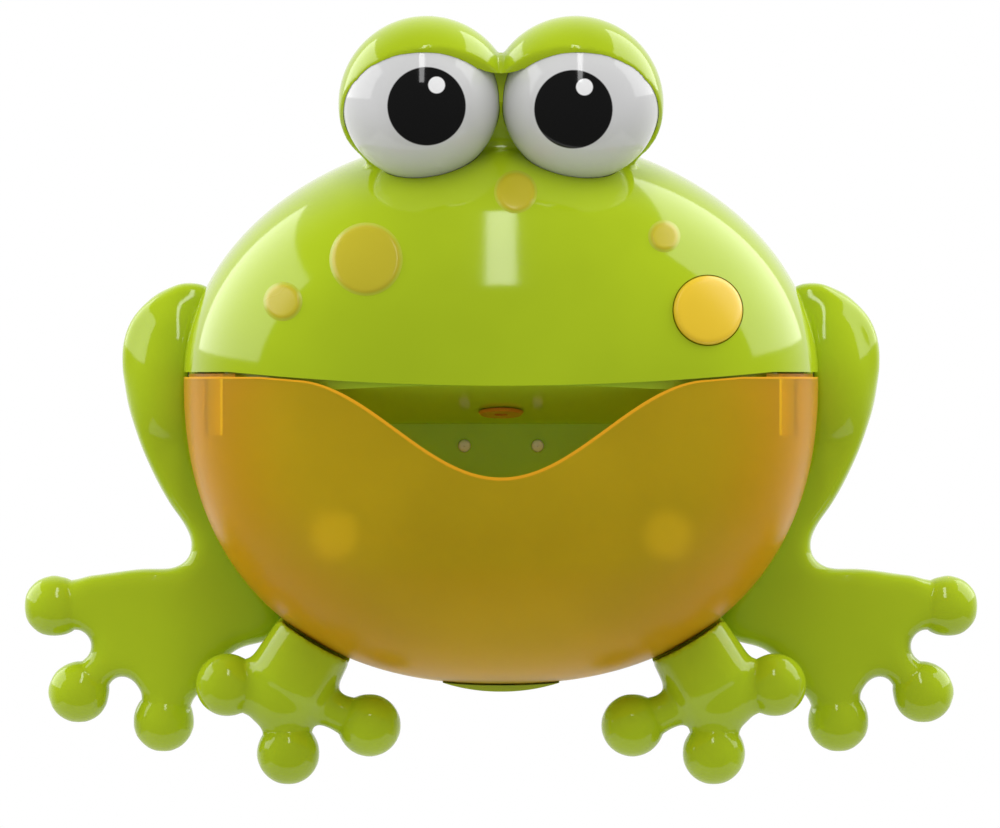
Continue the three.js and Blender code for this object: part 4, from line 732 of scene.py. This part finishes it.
def overpainted(material, *coats):
    """Lays coats over a material's own colour; a coat is the share that it covers and its colour."""
    tree = material.node_tree
    base = tree.nodes["Principled BSDF"].inputs["Base Color"]
    paint = base.links[0].from_socket
    for share, colour in coats:
        mix = tree.nodes.new("ShaderNodeMix")
        mix.data_type = "RGBA"
        feed(tree, mix.inputs["Factor"], share)
        feed(tree, mix.inputs["A"], paint)
        feed(tree, mix.inputs["B"], colour)
        paint = mix.outputs["Result"]
    feed(tree, base, paint)
    return material


liner_plastic = moulded_plastic("lime_liner_plastic", LINER_WALL_LIT, roughness=0.1)
liner_tree = liner_plastic.node_tree
# Painted shade: the ceiling turns darker than the wall.
ceiling_shade_share = ranged(liner_tree, places(liner_tree)["Y"], WALL_END_Y * MM, CEILING_START_Y * MM)
painted(overpainted(liner_plastic, (ceiling_shade_share, LINER_CEILING_SHADE)), "mouth_liner")
white_jet = moulded_plastic("white_jet_plastic", (0.94, 0.94, 0.93), roughness=0.22)
for word, x in (("left", -JET_X), ("right", JET_X)):
    jet = turned(JET_PROFILE, x, JET_Z, around=32)
    dressed(jet, f"{word}_nozzle", white_jet, "frog_body")
    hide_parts(f"air_jet_{word}")
painted(moulded_plastic("amber_plug_plastic", (0.62, 0.25, 0.02), roughness=0.18), "ceiling_plug")


# Bubble wand: a thin lime axle with two stalks, each ending in a ring whose ribs hold the soap film. It turns
# in the liner's bearings and dips the rings in the tray.
WAND = 1.5
WAND_LEFT = -42.06
WAND_RIGHT = 41.76
WAND_Y = -38.5
WAND_Z = -25
STALK = 1.2
STALK_END = -55.7
RING = 4.2
RING_BAR = 0.9
RING_Y = -59.7
RING_RIBS = 24
RIB_SHARE = 0.07
wand = bar(WAND, (WAND_LEFT, WAND_Z), (WAND_RIGHT, WAND_Z), WAND_Y)
wand_parts = []
for x in (-JET_X, JET_X):
    wand_parts.append(rod(STALK, WAND_Y, STALK_END, x, WAND_Z, sides=32))
    bpy.ops.mesh.primitive_torus_add(major_segments=144, minor_segments=16, major_radius=RING * MM,
                                     minor_radius=RING_BAR * MM, location=Vector((x, RING_Y, WAND_Z)) * MM)
    ring = bpy.context.object
    for vertex in ring.data.vertices:
        turn = math.atan2(vertex.co.y, vertex.co.x)
        middle = Vector((math.cos(turn), math.sin(turn), 0)) * RING * MM
        vertex.co = middle + (vertex.co - middle) * (1 - RIB_SHARE + RIB_SHARE * math.cos(RING_RIBS * turn))
    wand_parts.append(settle(ring))
fused(wand, "UNION", wand_parts)
dressed(wand, "dipping_wand", lime_gloss, "wand")
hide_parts("bubble_wand")


# Soap tray: the frog's jaw, a deep bowl in see-through amber with a scooped front lip, a low back wall and
# two inner tabs. It slides in under the head's rim, where a low upstand at each end closes the gap.
DOME_DEPTH = 59
DOME_FULLNESS = 2.4
RIM_MIDDLE = 10.9
RIM_SMILE = 3.3
RIM_SMILE_HALF = 65
RIM_STEPS = 60
TRAY_TOP = 12.7
TRAY_SPARE = 1.5
TRAY_GAP = 0.8
TRAY_WALL = 2
HOLLOW_BACK = -20
BACK_WALL_FRONT = -38.5
BACK_WALL_BACK = -36.5
BACK_WALL_TOP = -33.5
SCOOP_HALF = 50
SCOOP_TOP = 12
SCOOP_DIP = 23.3
SCOOP_STEPS = 98
TAB_X = 68.3
TAB_HALF = 1.75
TAB_FOOT = -1.3
TAB_SPARE = 1
TAB_INSET = 0.6
UPSTAND_START = 63.5
UPSTAND_INSET = 1.2
UPSTAND_WALL = 2
UPSTAND_ROOT = 1
UPSTAND_RISE = 0.8
UPSTAND_BACK = -31
LIP = 0.75
LIP_BLUR = 0.15
LIP_ABOVE = 0.1
LIP_BEHIND = 0.1
LIP_THINS_FROM = 36
LIP_THINS_TO = 54
LIP_THINNING = 1.7
# Painted highlight: the bright orange line along the cut edge of the lip.
LIP_HIGHLIGHT_COLOUR = (0.95, 0.46, 0.016, 1)
AMBER = (0.86, 0.62, 0.012)
# Painted glow: a deeper orange towards the bowl's edges, for light shining through the thick amber.
EDGE_GLOW_AMBER = (0.92, 0.50, 0.008, 1)
EDGE_GLOW_FROM = 46
EDGE_GLOW_TO = 76
# Painted glow on the two tabs, with a painted highlight along their inner edge.
TAB_GLOW_COLOUR = (0.98, 0.55, 0.012, 1)
TAB_GLOW_SHARE = 0.2
TAB_EDGE = 0.6
TAB_EDGE_HIGHLIGHT = 0.5
# Painted glow where the two bearing bosses stand behind the amber, soft round spots on the tray.
BOSS_GLOW_COLOUR = (1, 0.66, 0.02, 1)
BOSS_X = 39.8
BOSS_CORE = 3
BOSS_REACH = 8
BOSS_GLOW_SHARE = 0.3
# The amber is made less clear where its painted highlight and painted glows lie.
CLEARNESS = 0.6
PAINTED_LIGHT_CLEARNESS = 0.1


def dome(inset, back_y):
    """The frog's whole domed face as one closed form, drawn in by an inset and reaching back to a depth."""
    bpy.ops.mesh.primitive_uv_sphere_add(segments=192, ring_count=96, radius=1, rotation=(math.pi / 2, 0, 0))
    form = settle(bpy.context.object)
    for vertex in form.data.vertices:
        place = vertex.co.normalized()
        share = math.hypot(place.x, place.z)
        x, z = body_edge(math.atan2(place.z, place.x), inset)
        y = back_y
        if place.y < 1e-5:
            share = share ** (2 / DOME_FULLNESS)
            y = SEAM_Y - (DOME_DEPTH - inset) * max(0, -place.y) ** (2 / DOME_FULLNESS)
        vertex.co = Vector((x * share, y, MOUTH_LEVEL + (z - MOUTH_LEVEL) * share)) * MM
    return form


def above(level):
    """Everything above a level."""
    return block(-FAR_SIDE, FAR_SIDE, FAR_FRONT, FAR_BACK, level, FAR_TOP)


def above_rim(drop):
    """Everything above the head's rim, lowered by a drop. The rim is a shallow smile between level ends."""
    end_z = RIM_MIDDLE + RIM_SMILE - drop
    points = [(-FAR_SIDE, end_z)]
    for step in range(RIM_STEPS):
        share = 2 * step / (RIM_STEPS - 1) - 1
        points.append((share * RIM_SMILE_HALF, RIM_MIDDLE + RIM_SMILE * share * share - drop))
    points += [(FAR_SIDE, end_z), (FAR_SIDE, FAR_TOP), (-FAR_SIDE, FAR_TOP)]
    return prism(points, FAR_FRONT, FAR_BACK)


scoop = [(SCOOP_HALF, FAR_TOP), (-SCOOP_HALF, FAR_TOP)]
for step in range(SCOOP_STEPS):
    share = 2 * step / (SCOOP_STEPS - 1) - 1
    scoop.append((SCOOP_HALF * share, SCOOP_TOP - SCOOP_DIP * (1 + math.cos(math.pi * share)) / 2))
tray = fused(dome(0, SEAM_Y), "DIFFERENCE", [above(TRAY_TOP + TRAY_SPARE)])
back_wall = block(-FAR_SIDE, FAR_SIDE, BACK_WALL_FRONT, BACK_WALL_BACK, -FAR_TOP, BACK_WALL_TOP)
fused(tray, "DIFFERENCE", [fused(dome(TRAY_WALL, HOLLOW_BACK), "DIFFERENCE", [back_wall])])
for side in (-1, 1):
    tab = block(side * (TAB_X - TAB_HALF), side * (TAB_X + TAB_HALF), FAR_FRONT, BACK_WALL_BACK,
                TAB_FOOT, TRAY_TOP + TAB_SPARE)
    fused(tray, "UNION", [fused(tab, "INTERSECT", [dome(TAB_INSET, SEAM_Y)])])
fused(tray, "DIFFERENCE", [above_rim(TRAY_GAP), above(TRAY_TOP), prism(scoop, BACK_WALL_FRONT, FAR_FRONT)])
upstand_gap = block(-UPSTAND_START, UPSTAND_START, FAR_FRONT, 0, 0, FAR_TOP)
upstand = fused(dome(UPSTAND_INSET, SEAM_Y), "DIFFERENCE",
                [dome(UPSTAND_INSET + UPSTAND_WALL, HOLLOW_BACK), upstand_gap])
fused(upstand, "INTERSECT", [block(-FAR_SIDE, FAR_SIDE, FAR_FRONT, UPSTAND_BACK,
                                   TRAY_TOP - UPSTAND_ROOT, TRAY_TOP + UPSTAND_RISE)])
fused(tray, "UNION", [upstand])


def reach_from(tree, across, up, x, z):
    """How far a point lies from a place, as seen from the front."""
    flat = tree.nodes.new("ShaderNodeCombineXYZ")
    feed(tree, flat.inputs["X"], across)
    feed(tree, flat.inputs["Z"], up)
    reach = tree.nodes.new("ShaderNodeVectorMath")
    reach.operation = "DISTANCE"
    feed(tree, reach.inputs[0], flat.outputs["Vector"])
    feed(tree, reach.inputs[1], (x * MM, 0, z * MM))
    return reach.outputs["Value"]


def lip_highlight_band(tree, side, y, z):
    """Gives 1 in a fine band under the cut edge of the tray's front lip, square to that edge, and else 0.
    The band carries the painted highlight of that cut edge.
    """
    sums = partial(maths, tree)
    turn = sums("MULTIPLY", sums("MINIMUM", side, SCOOP_HALF * MM), math.pi / (SCOOP_HALF * MM))
    dip = sums("MULTIPLY", sums("ADD", sums("COSINE", turn), 1), SCOOP_DIP / 2 * MM)
    smile = sums("MULTIPLY", sums("MULTIPLY", side, side), RIM_SMILE / RIM_SMILE_HALF ** 2 / MM)
    under_rim = sums("MINIMUM", sums("ADD", smile, (RIM_MIDDLE - TRAY_GAP) * MM), TRAY_TOP * MM)
    top = sums("MAXIMUM", under_rim, SCOOP_TOP * MM)
    below = sums("SUBTRACT", sums("SUBTRACT", top, dip), z)
    rise = sums("MULTIPLY", sums("SINE", turn), SCOOP_DIP / 2 * math.pi / SCOOP_HALF)
    steep = sums("SQRT", sums("ADD", sums("MULTIPLY", rise, rise), 1))
    thinning = ranged(tree, side, LIP_THINS_FROM * MM, LIP_THINS_TO * MM, 1, LIP_THINNING, smooth=True)
    depth = sums("MULTIPLY", sums("DIVIDE", below, steep), thinning)
    lip = ranged(tree, depth, LIP * (1 + LIP_BLUR) * MM, LIP * (1 - LIP_BLUR) * MM)
    front = sums("LESS_THAN", y, (BACK_WALL_FRONT + LIP_BEHIND) * MM)
    front = sums("MULTIPLY", front, sums("GREATER_THAN", below, -LIP_ABOVE * MM))
    return sums("MULTIPLY", lip, front)


def tab_glow(tree, side, z):
    """Gives the painted glow of the two tabs, stronger along their inner edge as a painted highlight, and 0
    beside them.
    """
    sums = partial(maths, tree)
    beside = sums("ABSOLUTE", sums("SUBTRACT", side, TAB_X * MM))
    tab = sums("MULTIPLY", sums("LESS_THAN", beside, TAB_HALF * MM), sums("GREATER_THAN", z, TAB_FOOT * MM))
    inner = sums("MULTIPLY", tab, sums("LESS_THAN", side, (TAB_X - TAB_HALF + TAB_EDGE) * MM))
    return sums("ADD", sums("MULTIPLY", tab, TAB_GLOW_SHARE), sums("MULTIPLY", inner, TAB_EDGE_HIGHLIGHT))


def amber_plastic(name):
    """See-through amber with painted light on it: a painted glow that deepens to orange away from the mouth,
    a painted highlight along its cut lip, a painted glow on the tabs and a painted glow where the two bearing
    bosses stand behind it."""
    material = moulded_plastic(name, AMBER, roughness=0.34)
    tree = material.node_tree
    shader = tree.nodes["Principled BSDF"]
    shader.inputs["IOR"].default_value = 1.25
    shader.inputs["Specular IOR Level"].default_value = 0.25
    place = places(tree)
    side = maths(tree, "ABSOLUTE", place["X"])
    reach = reach_from(tree, place["X"], place["Z"], 0, 0)
    # Painted light: a glow towards the edges, at the bosses and on the tabs, and a highlight along the cut
    # lip.
    edge_glow = ranged(tree, reach, EDGE_GLOW_FROM * MM, EDGE_GLOW_TO * MM, smooth=True)
    off_boss = reach_from(tree, side, place["Z"], BOSS_X, WAND_Z)
    boss_glow = ranged(tree, off_boss, BOSS_REACH * MM, BOSS_CORE * MM, 0, BOSS_GLOW_SHARE, smooth=True)
    tabs = tab_glow(tree, side, place["Z"])
    lip = lip_highlight_band(tree, side, place["Y"], place["Z"])
    painted_light = maths(tree, "MAXIMUM", lip, maths(tree, "MAXIMUM", tabs, boss_glow))
    clear = ranged(tree, painted_light, 0, 1, CLEARNESS, PAINTED_LIGHT_CLEARNESS)
    feed(tree, shader.inputs["Transmission Weight"], clear)
    return overpainted(material, (edge_glow, EDGE_GLOW_AMBER), (tabs, TAB_GLOW_COLOUR), (boss_glow, BOSS_GLOW_COLOUR),
                       (lip, LIP_HIGHLIGHT_COLOUR))


dressed(tray, "amber_jaw", amber_plastic("amber_clear_plastic"), "tray")
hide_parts("soap_tray")


# Head: the glossy lime upper half of the frog, one moulding with two round eye domes whose lids stand over
# the eyeballs, a hole for the button, and posts inside for the two upper case screws.
HEAD_WALL = 2.2
SEAM_MARGIN = 0.2
RIM_DROP = 0.3
ROUGH_RIM_DROP = 1.5
EYE_X = 17.8
EYE_Y = -61
EYE_Z = 78
LID_RADIUS = 21.1
LID_TILT = math.radians(42.7)
LID_ROLL = math.radians(5)
LID_FRONT = 4
EYEBALL = 18.9
EYEBALL_X = 19.15
EYEBALL_Y = -62
EYEBALL_Z = 78.6
EYEBALL_GAP = 0.12
NOTCH_SIDE = [(3.2, 66.5), (5.4, 80), (5.4, 86.4), (3.8, 85.7), (2, 85.35)]
NOTCH_TOP = (0, 85.25)
NOTCH_BACK = -65.5
POST = 4
POST_INSET = 1
POST_HOLE_END = -35.3
BUTTON_X = 49.4
BUTTON_Z = 28.6
BUTTON_HOLE = 8.5
SLEEVE = 10.6
SLEEVE_BACK = -61.5


def lid_front(x, along):
    """The space in front of and below the plane of a lid's edge, set along that plane's normal."""
    half = 60
    slope = Euler((LID_TILT, math.copysign(LID_ROLL, x), 0))
    way = slope.to_matrix() @ Vector((0, -1, 0))
    middle = Vector((x, EYE_Y, EYE_Z)) + way * (along + half)
    bpy.ops.mesh.primitive_cube_add(size=2 * half * MM, location=middle * MM, rotation=slope)
    return settle(bpy.context.object)


def dome_goal(inset):
    """Gives the point of the dome's surface that lies towards a place in front of the seam."""
    def goal(place):
        depth = SEAM_Y - place.y
        lift = place.z - MOUTH_LEVEL
        fullness = 2 if lift >= 0 else TRAY_FULLNESS
        rise = (HEAD_RISE if lift >= 0 else TRAY_DROP) - inset
        if depth < SEAM_MARGIN:
            return None
        across = abs(place.x / (BODY_HALF_WIDTH - inset)) ** fullness + abs(lift / rise) ** fullness
        size = across ** (DOME_FULLNESS / fullness) + (depth / (DOME_DEPTH - inset)) ** DOME_FULLNESS
        centre = Vector((0, SEAM_Y, MOUTH_LEVEL))
        return centre + (place - centre) / size ** (1 / DOME_FULLNESS)
    return goal


head = dome(0, SEAM_Y)
lid_goals = []
for x in (-EYE_X, EYE_X):
    lid = fused(ball(LID_RADIUS, x, EYE_Y, EYE_Z, around=128), "DIFFERENCE", [lid_front(x, LID_FRONT)])
    lid_goals.append(ball_goal(LID_RADIUS, Vector((x, EYE_Y, EYE_Z))))
    fused(head, "UNION", [lid])
remoulded(head, voxel=0.9, rounds=26)
trued(head, dome_goal(0), *lid_goals)
fused(head, "DIFFERENCE", [dome(HEAD_WALL, HOLLOW_BACK)])
fused(head, "INTERSECT", [above_rim(ROUGH_RIM_DROP)])
upper_screws = SCREW_PLACES[:2]
inner_parts = [rod(POST, FAR_FRONT, SEAM_Y, x, z) for x, z in upper_screws]
inner_parts.append(rod(SLEEVE, FAR_FRONT, SLEEVE_BACK, BUTTON_X, BUTTON_Z))
for part in inner_parts:
    fused(part, "INTERSECT", [dome(POST_INSET, SEAM_Y)])
fused(head, "UNION", inner_parts)
remoulded(head, voxel=0.75, rounds=2)
trued(head, dome_goal(0), dome_goal(HEAD_WALL), *lid_goals)
head_cuts = [rod(SCREW_HOLE, HOLLOW_BACK, POST_HOLE_END, x, z) for x, z in upper_screws]
for x in (-EYEBALL_X, EYEBALL_X):
    head_cuts.append(ball(EYEBALL + EYEBALL_GAP, x, EYEBALL_Y, EYEBALL_Z, around=160))
notch = [*NOTCH_SIDE, NOTCH_TOP, *((-x, z) for x, z in reversed(NOTCH_SIDE))]
head_cuts.append(prism(notch, FAR_FRONT, NOTCH_BACK))
head_cuts.append(rod(BUTTON_HOLE, FAR_FRONT, BACK_Y, BUTTON_X, BUTTON_Z, sides=128))
fused(head, "DIFFERENCE", head_cuts)
fused(head, "INTERSECT", [above_rim(RIM_DROP)])
dressed(head, "frog_head", lime_gloss, "frog_body")
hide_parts("head_shell")


# Eyeballs: two glossy white caps that sit in the sockets under the lids, almost touching at the middle of the
# face. The black pupil and its small white glint are printed on each, so they are part of its finish.
EYEBALL_BACK = -8
EYEBALL_SPLIT = 0.25
EYE_WHITE = (0.68, 0.68, 0.68)
PUPIL = 9.36
PUPIL_BLACK = (0.006, 0.006, 0.006, 1)
GLINT = 2.0
GLINT_WHITE = (0.95, 0.95, 0.95, 1)
PRINT_EDGE = 0.12
EYE_PRINTS = [("left", -1, (-17.76, 77.28), (-15.36, 82.32)), ("right", 1, (17.28, 76.56), (19.92, 81.84))]


def printed_eye(name, pupil, glint):
    """White gloss plastic with a black printed disc and a white dot in it, as seen from the front."""
    material = moulded_plastic(name, EYE_WHITE, roughness=0.08)
    tree = material.node_tree
    place = places(tree)
    coats = []
    for (x, z), radius, colour in ((pupil, PUPIL, PUPIL_BLACK), (glint, GLINT, GLINT_WHITE)):
        reach = reach_from(tree, place["X"], place["Z"], x, z)
        cover = ranged(tree, reach, (radius - PRINT_EDGE) * MM, (radius + PRINT_EDGE) * MM, 1, 0)
        coats.append((cover, colour))
    return overpainted(material, *coats)


for word, side, pupil, glint in EYE_PRINTS:
    eye = ball(EYEBALL, side * EYEBALL_X, EYEBALL_Y, EYEBALL_Z, around=160)
    own_half = block(side * EYEBALL_SPLIT, side * FAR_SIDE, FAR_FRONT, 0, 0, FAR_TOP)
    fused(eye, "INTERSECT", [lid_front(side * EYE_X, EYEBALL_BACK), own_half])
    eye_print = printed_eye(f"{word}_eye_print", pupil, glint)
    dressed(eye, f"{word}_eye", eye_print, "frog_body")
    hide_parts(f"{word}_eyeball")


# Spots: four flat round bumps moulded on the head, their faces painted mustard, as on a frog's back. The
# paint stops at the edge of the face, and the sloping side shows lighter.
SPOTS = [(-32.2, 40.8, 7.7), (-52.1, 30.7, 3.6), (3.5, 56.9, 4.1), (39.0, 46.3, 2.8)]
SPOT_PROUD = 0.9
SPOT_FACE = (0, 0.2, 0.4, 0.6, 0.8, 0.93)
SPOT_SIDE = [(0, 0.82), (0.35, 0.55), (0.9, 0.1), (1.4, -0.2), (1.3, -0.9)]
SPOT_BACK = -0.9
MUSTARD = (0.54, 0.46, 0.014)
SPOT_SIDE_COLOUR = (0.50, 0.55, 0.03, 1)
PAINT_END = 0.2
PAINT_FADE = 0.5


def on_face(x, z, proud):
    """A point of the head's surface at a place across and up, standing proud of it."""
    share = math.hypot(x / BODY_HALF_WIDTH, (z - MOUTH_LEVEL) / HEAD_RISE)
    depth = DOME_DEPTH * max(0, 1 - share ** DOME_FULLNESS) ** (1 / DOME_FULLNESS)
    return Vector((x, SEAM_Y - depth - proud, z)) * MM


def face_disc(x, z, rings, back_y=0):
    """A round disc that follows the head's surface. A ring is a radius and how far it stands proud of the
    head, or None for a ring on the flat back."""
    def place_of(ring, across, up):
        radius, proud = rings[ring]
        place = on_face(x + radius * across, z + radius * up, proud or 0)
        if proud is None:
            place.y = back_y * MM
        return place
    return ringed(len(rings), 96, place_of)


def painted_spot(name, x, z, radius):
    """Mustard paint over the round face of a spot, and lime plastic at its side."""
    material = moulded_plastic(name, MUSTARD, roughness=0.26)
    tree = material.node_tree
    place = places(tree)
    reach = reach_from(tree, place["X"], place["Z"], x, z)
    paint_end = radius + PAINT_END
    bare = ranged(tree, reach, paint_end * MM, (paint_end + PAINT_FADE) * MM)
    return overpainted(material, (bare, SPOT_SIDE_COLOUR))


for number, (x, z, radius) in enumerate(SPOTS, 1):
    rings = [(radius * share, SPOT_PROUD) for share in SPOT_FACE]
    rings += [(radius + out, proud) for out, proud in SPOT_SIDE]
    spot = face_disc(x, z, [*rings, (0, SPOT_BACK)])
    spot_paint = painted_spot(f"spot_{number}_paint", x, z, radius)
    dressed(spot, f"spot_{number}", spot_paint, "frog_body")


# Push button: a round yellow cap on the frog's cheek, in a hole with a fine gap. Its face follows the head,
# its edge is rounded, and a flange behind the sleeve keeps it in.
BUTTON = 8.3
BUTTON_PROUD = 1.6
BUTTON_FACE = (0, 1.5, 3, 4.5, 6, 6.8)
BUTTON_EDGE = [(7.4, 1.5), (7.85, 1.2), (8.15, 0.75), (BUTTON, 0.1), (BUTTON, -3), (BUTTON, None), (0, None)]
BUTTON_BACK = -59.4
FLANGE = 10
FLANGE_FRONT = -61.2
yellow = moulded_plastic("yellow_button_plastic", (0.84, 0.56, 0.02), roughness=0.26)
button_rings = [(radius, BUTTON_PROUD) for radius in BUTTON_FACE]
button = face_disc(BUTTON_X, BUTTON_Z, button_rings + BUTTON_EDGE, BUTTON_BACK)
fused(button, "UNION", [rod(FLANGE, FLANGE_FRONT, BUTTON_BACK, BUTTON_X, BUTTON_Z, sides=96)])
dressed(button, "yellow_button", yellow, "button")
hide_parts("power_button")


# Battery door: a flat lime lid in the back of the case with a tab for its screw and a few grip grooves. It
# lifts straight out once the screw is undone.
DOOR_EDGE = 0.6
DOOR_SCREW_SEAT = -9.9
DOOR_SCREW_LENGTH = 7.2
DOOR_SCREW_Y = -9.6
GROOVES = (-26, -23, -20, -17)
GROOVE_HALF_LENGTH = 10
GROOVE_HALF_WIDTH = 0.6
GROOVE_FLOOR = -8.5
door = block(-DOOR_HALF, DOOR_HALF, DOOR_FRONT, BACK_Y, DOOR_LOW, DOOR_HIGH)
fused(door, "UNION", [block(-DOOR_TAB_HALF, DOOR_TAB_HALF, DOOR_FRONT, BACK_Y, 0, DOOR_TAB_TOP)])
eased(door, DOOR_EDGE, segments=3)
door_cuts = [rod(SCREW_HEAD_HOLE, 0, DOOR_SCREW_SEAT, 0, DOOR_SCREW_Z),
             rod(SCREW_HOLE, 0, FAR_FRONT, 0, DOOR_SCREW_Z)]
for z in GROOVES:
    door_cuts.append(block(-GROOVE_HALF_LENGTH, GROOVE_HALF_LENGTH, GROOVE_FLOOR, 0,
                           z - GROOVE_HALF_WIDTH, z + GROOVE_HALF_WIDTH))
fused(door, "DIFFERENCE", door_cuts)
dressed(door, "battery_lid", lime_satin, "door")
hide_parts("battery_door")
door_screw = screw_form(DOOR_SCREW_LENGTH)
door_screw.location = Vector((0, DOOR_SCREW_Y, DOOR_SCREW_Z)) * MM
settle(door_screw)
dressed(door_screw, "lid_screw", screw_plate, "door_screw")
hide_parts("battery_door_screw")
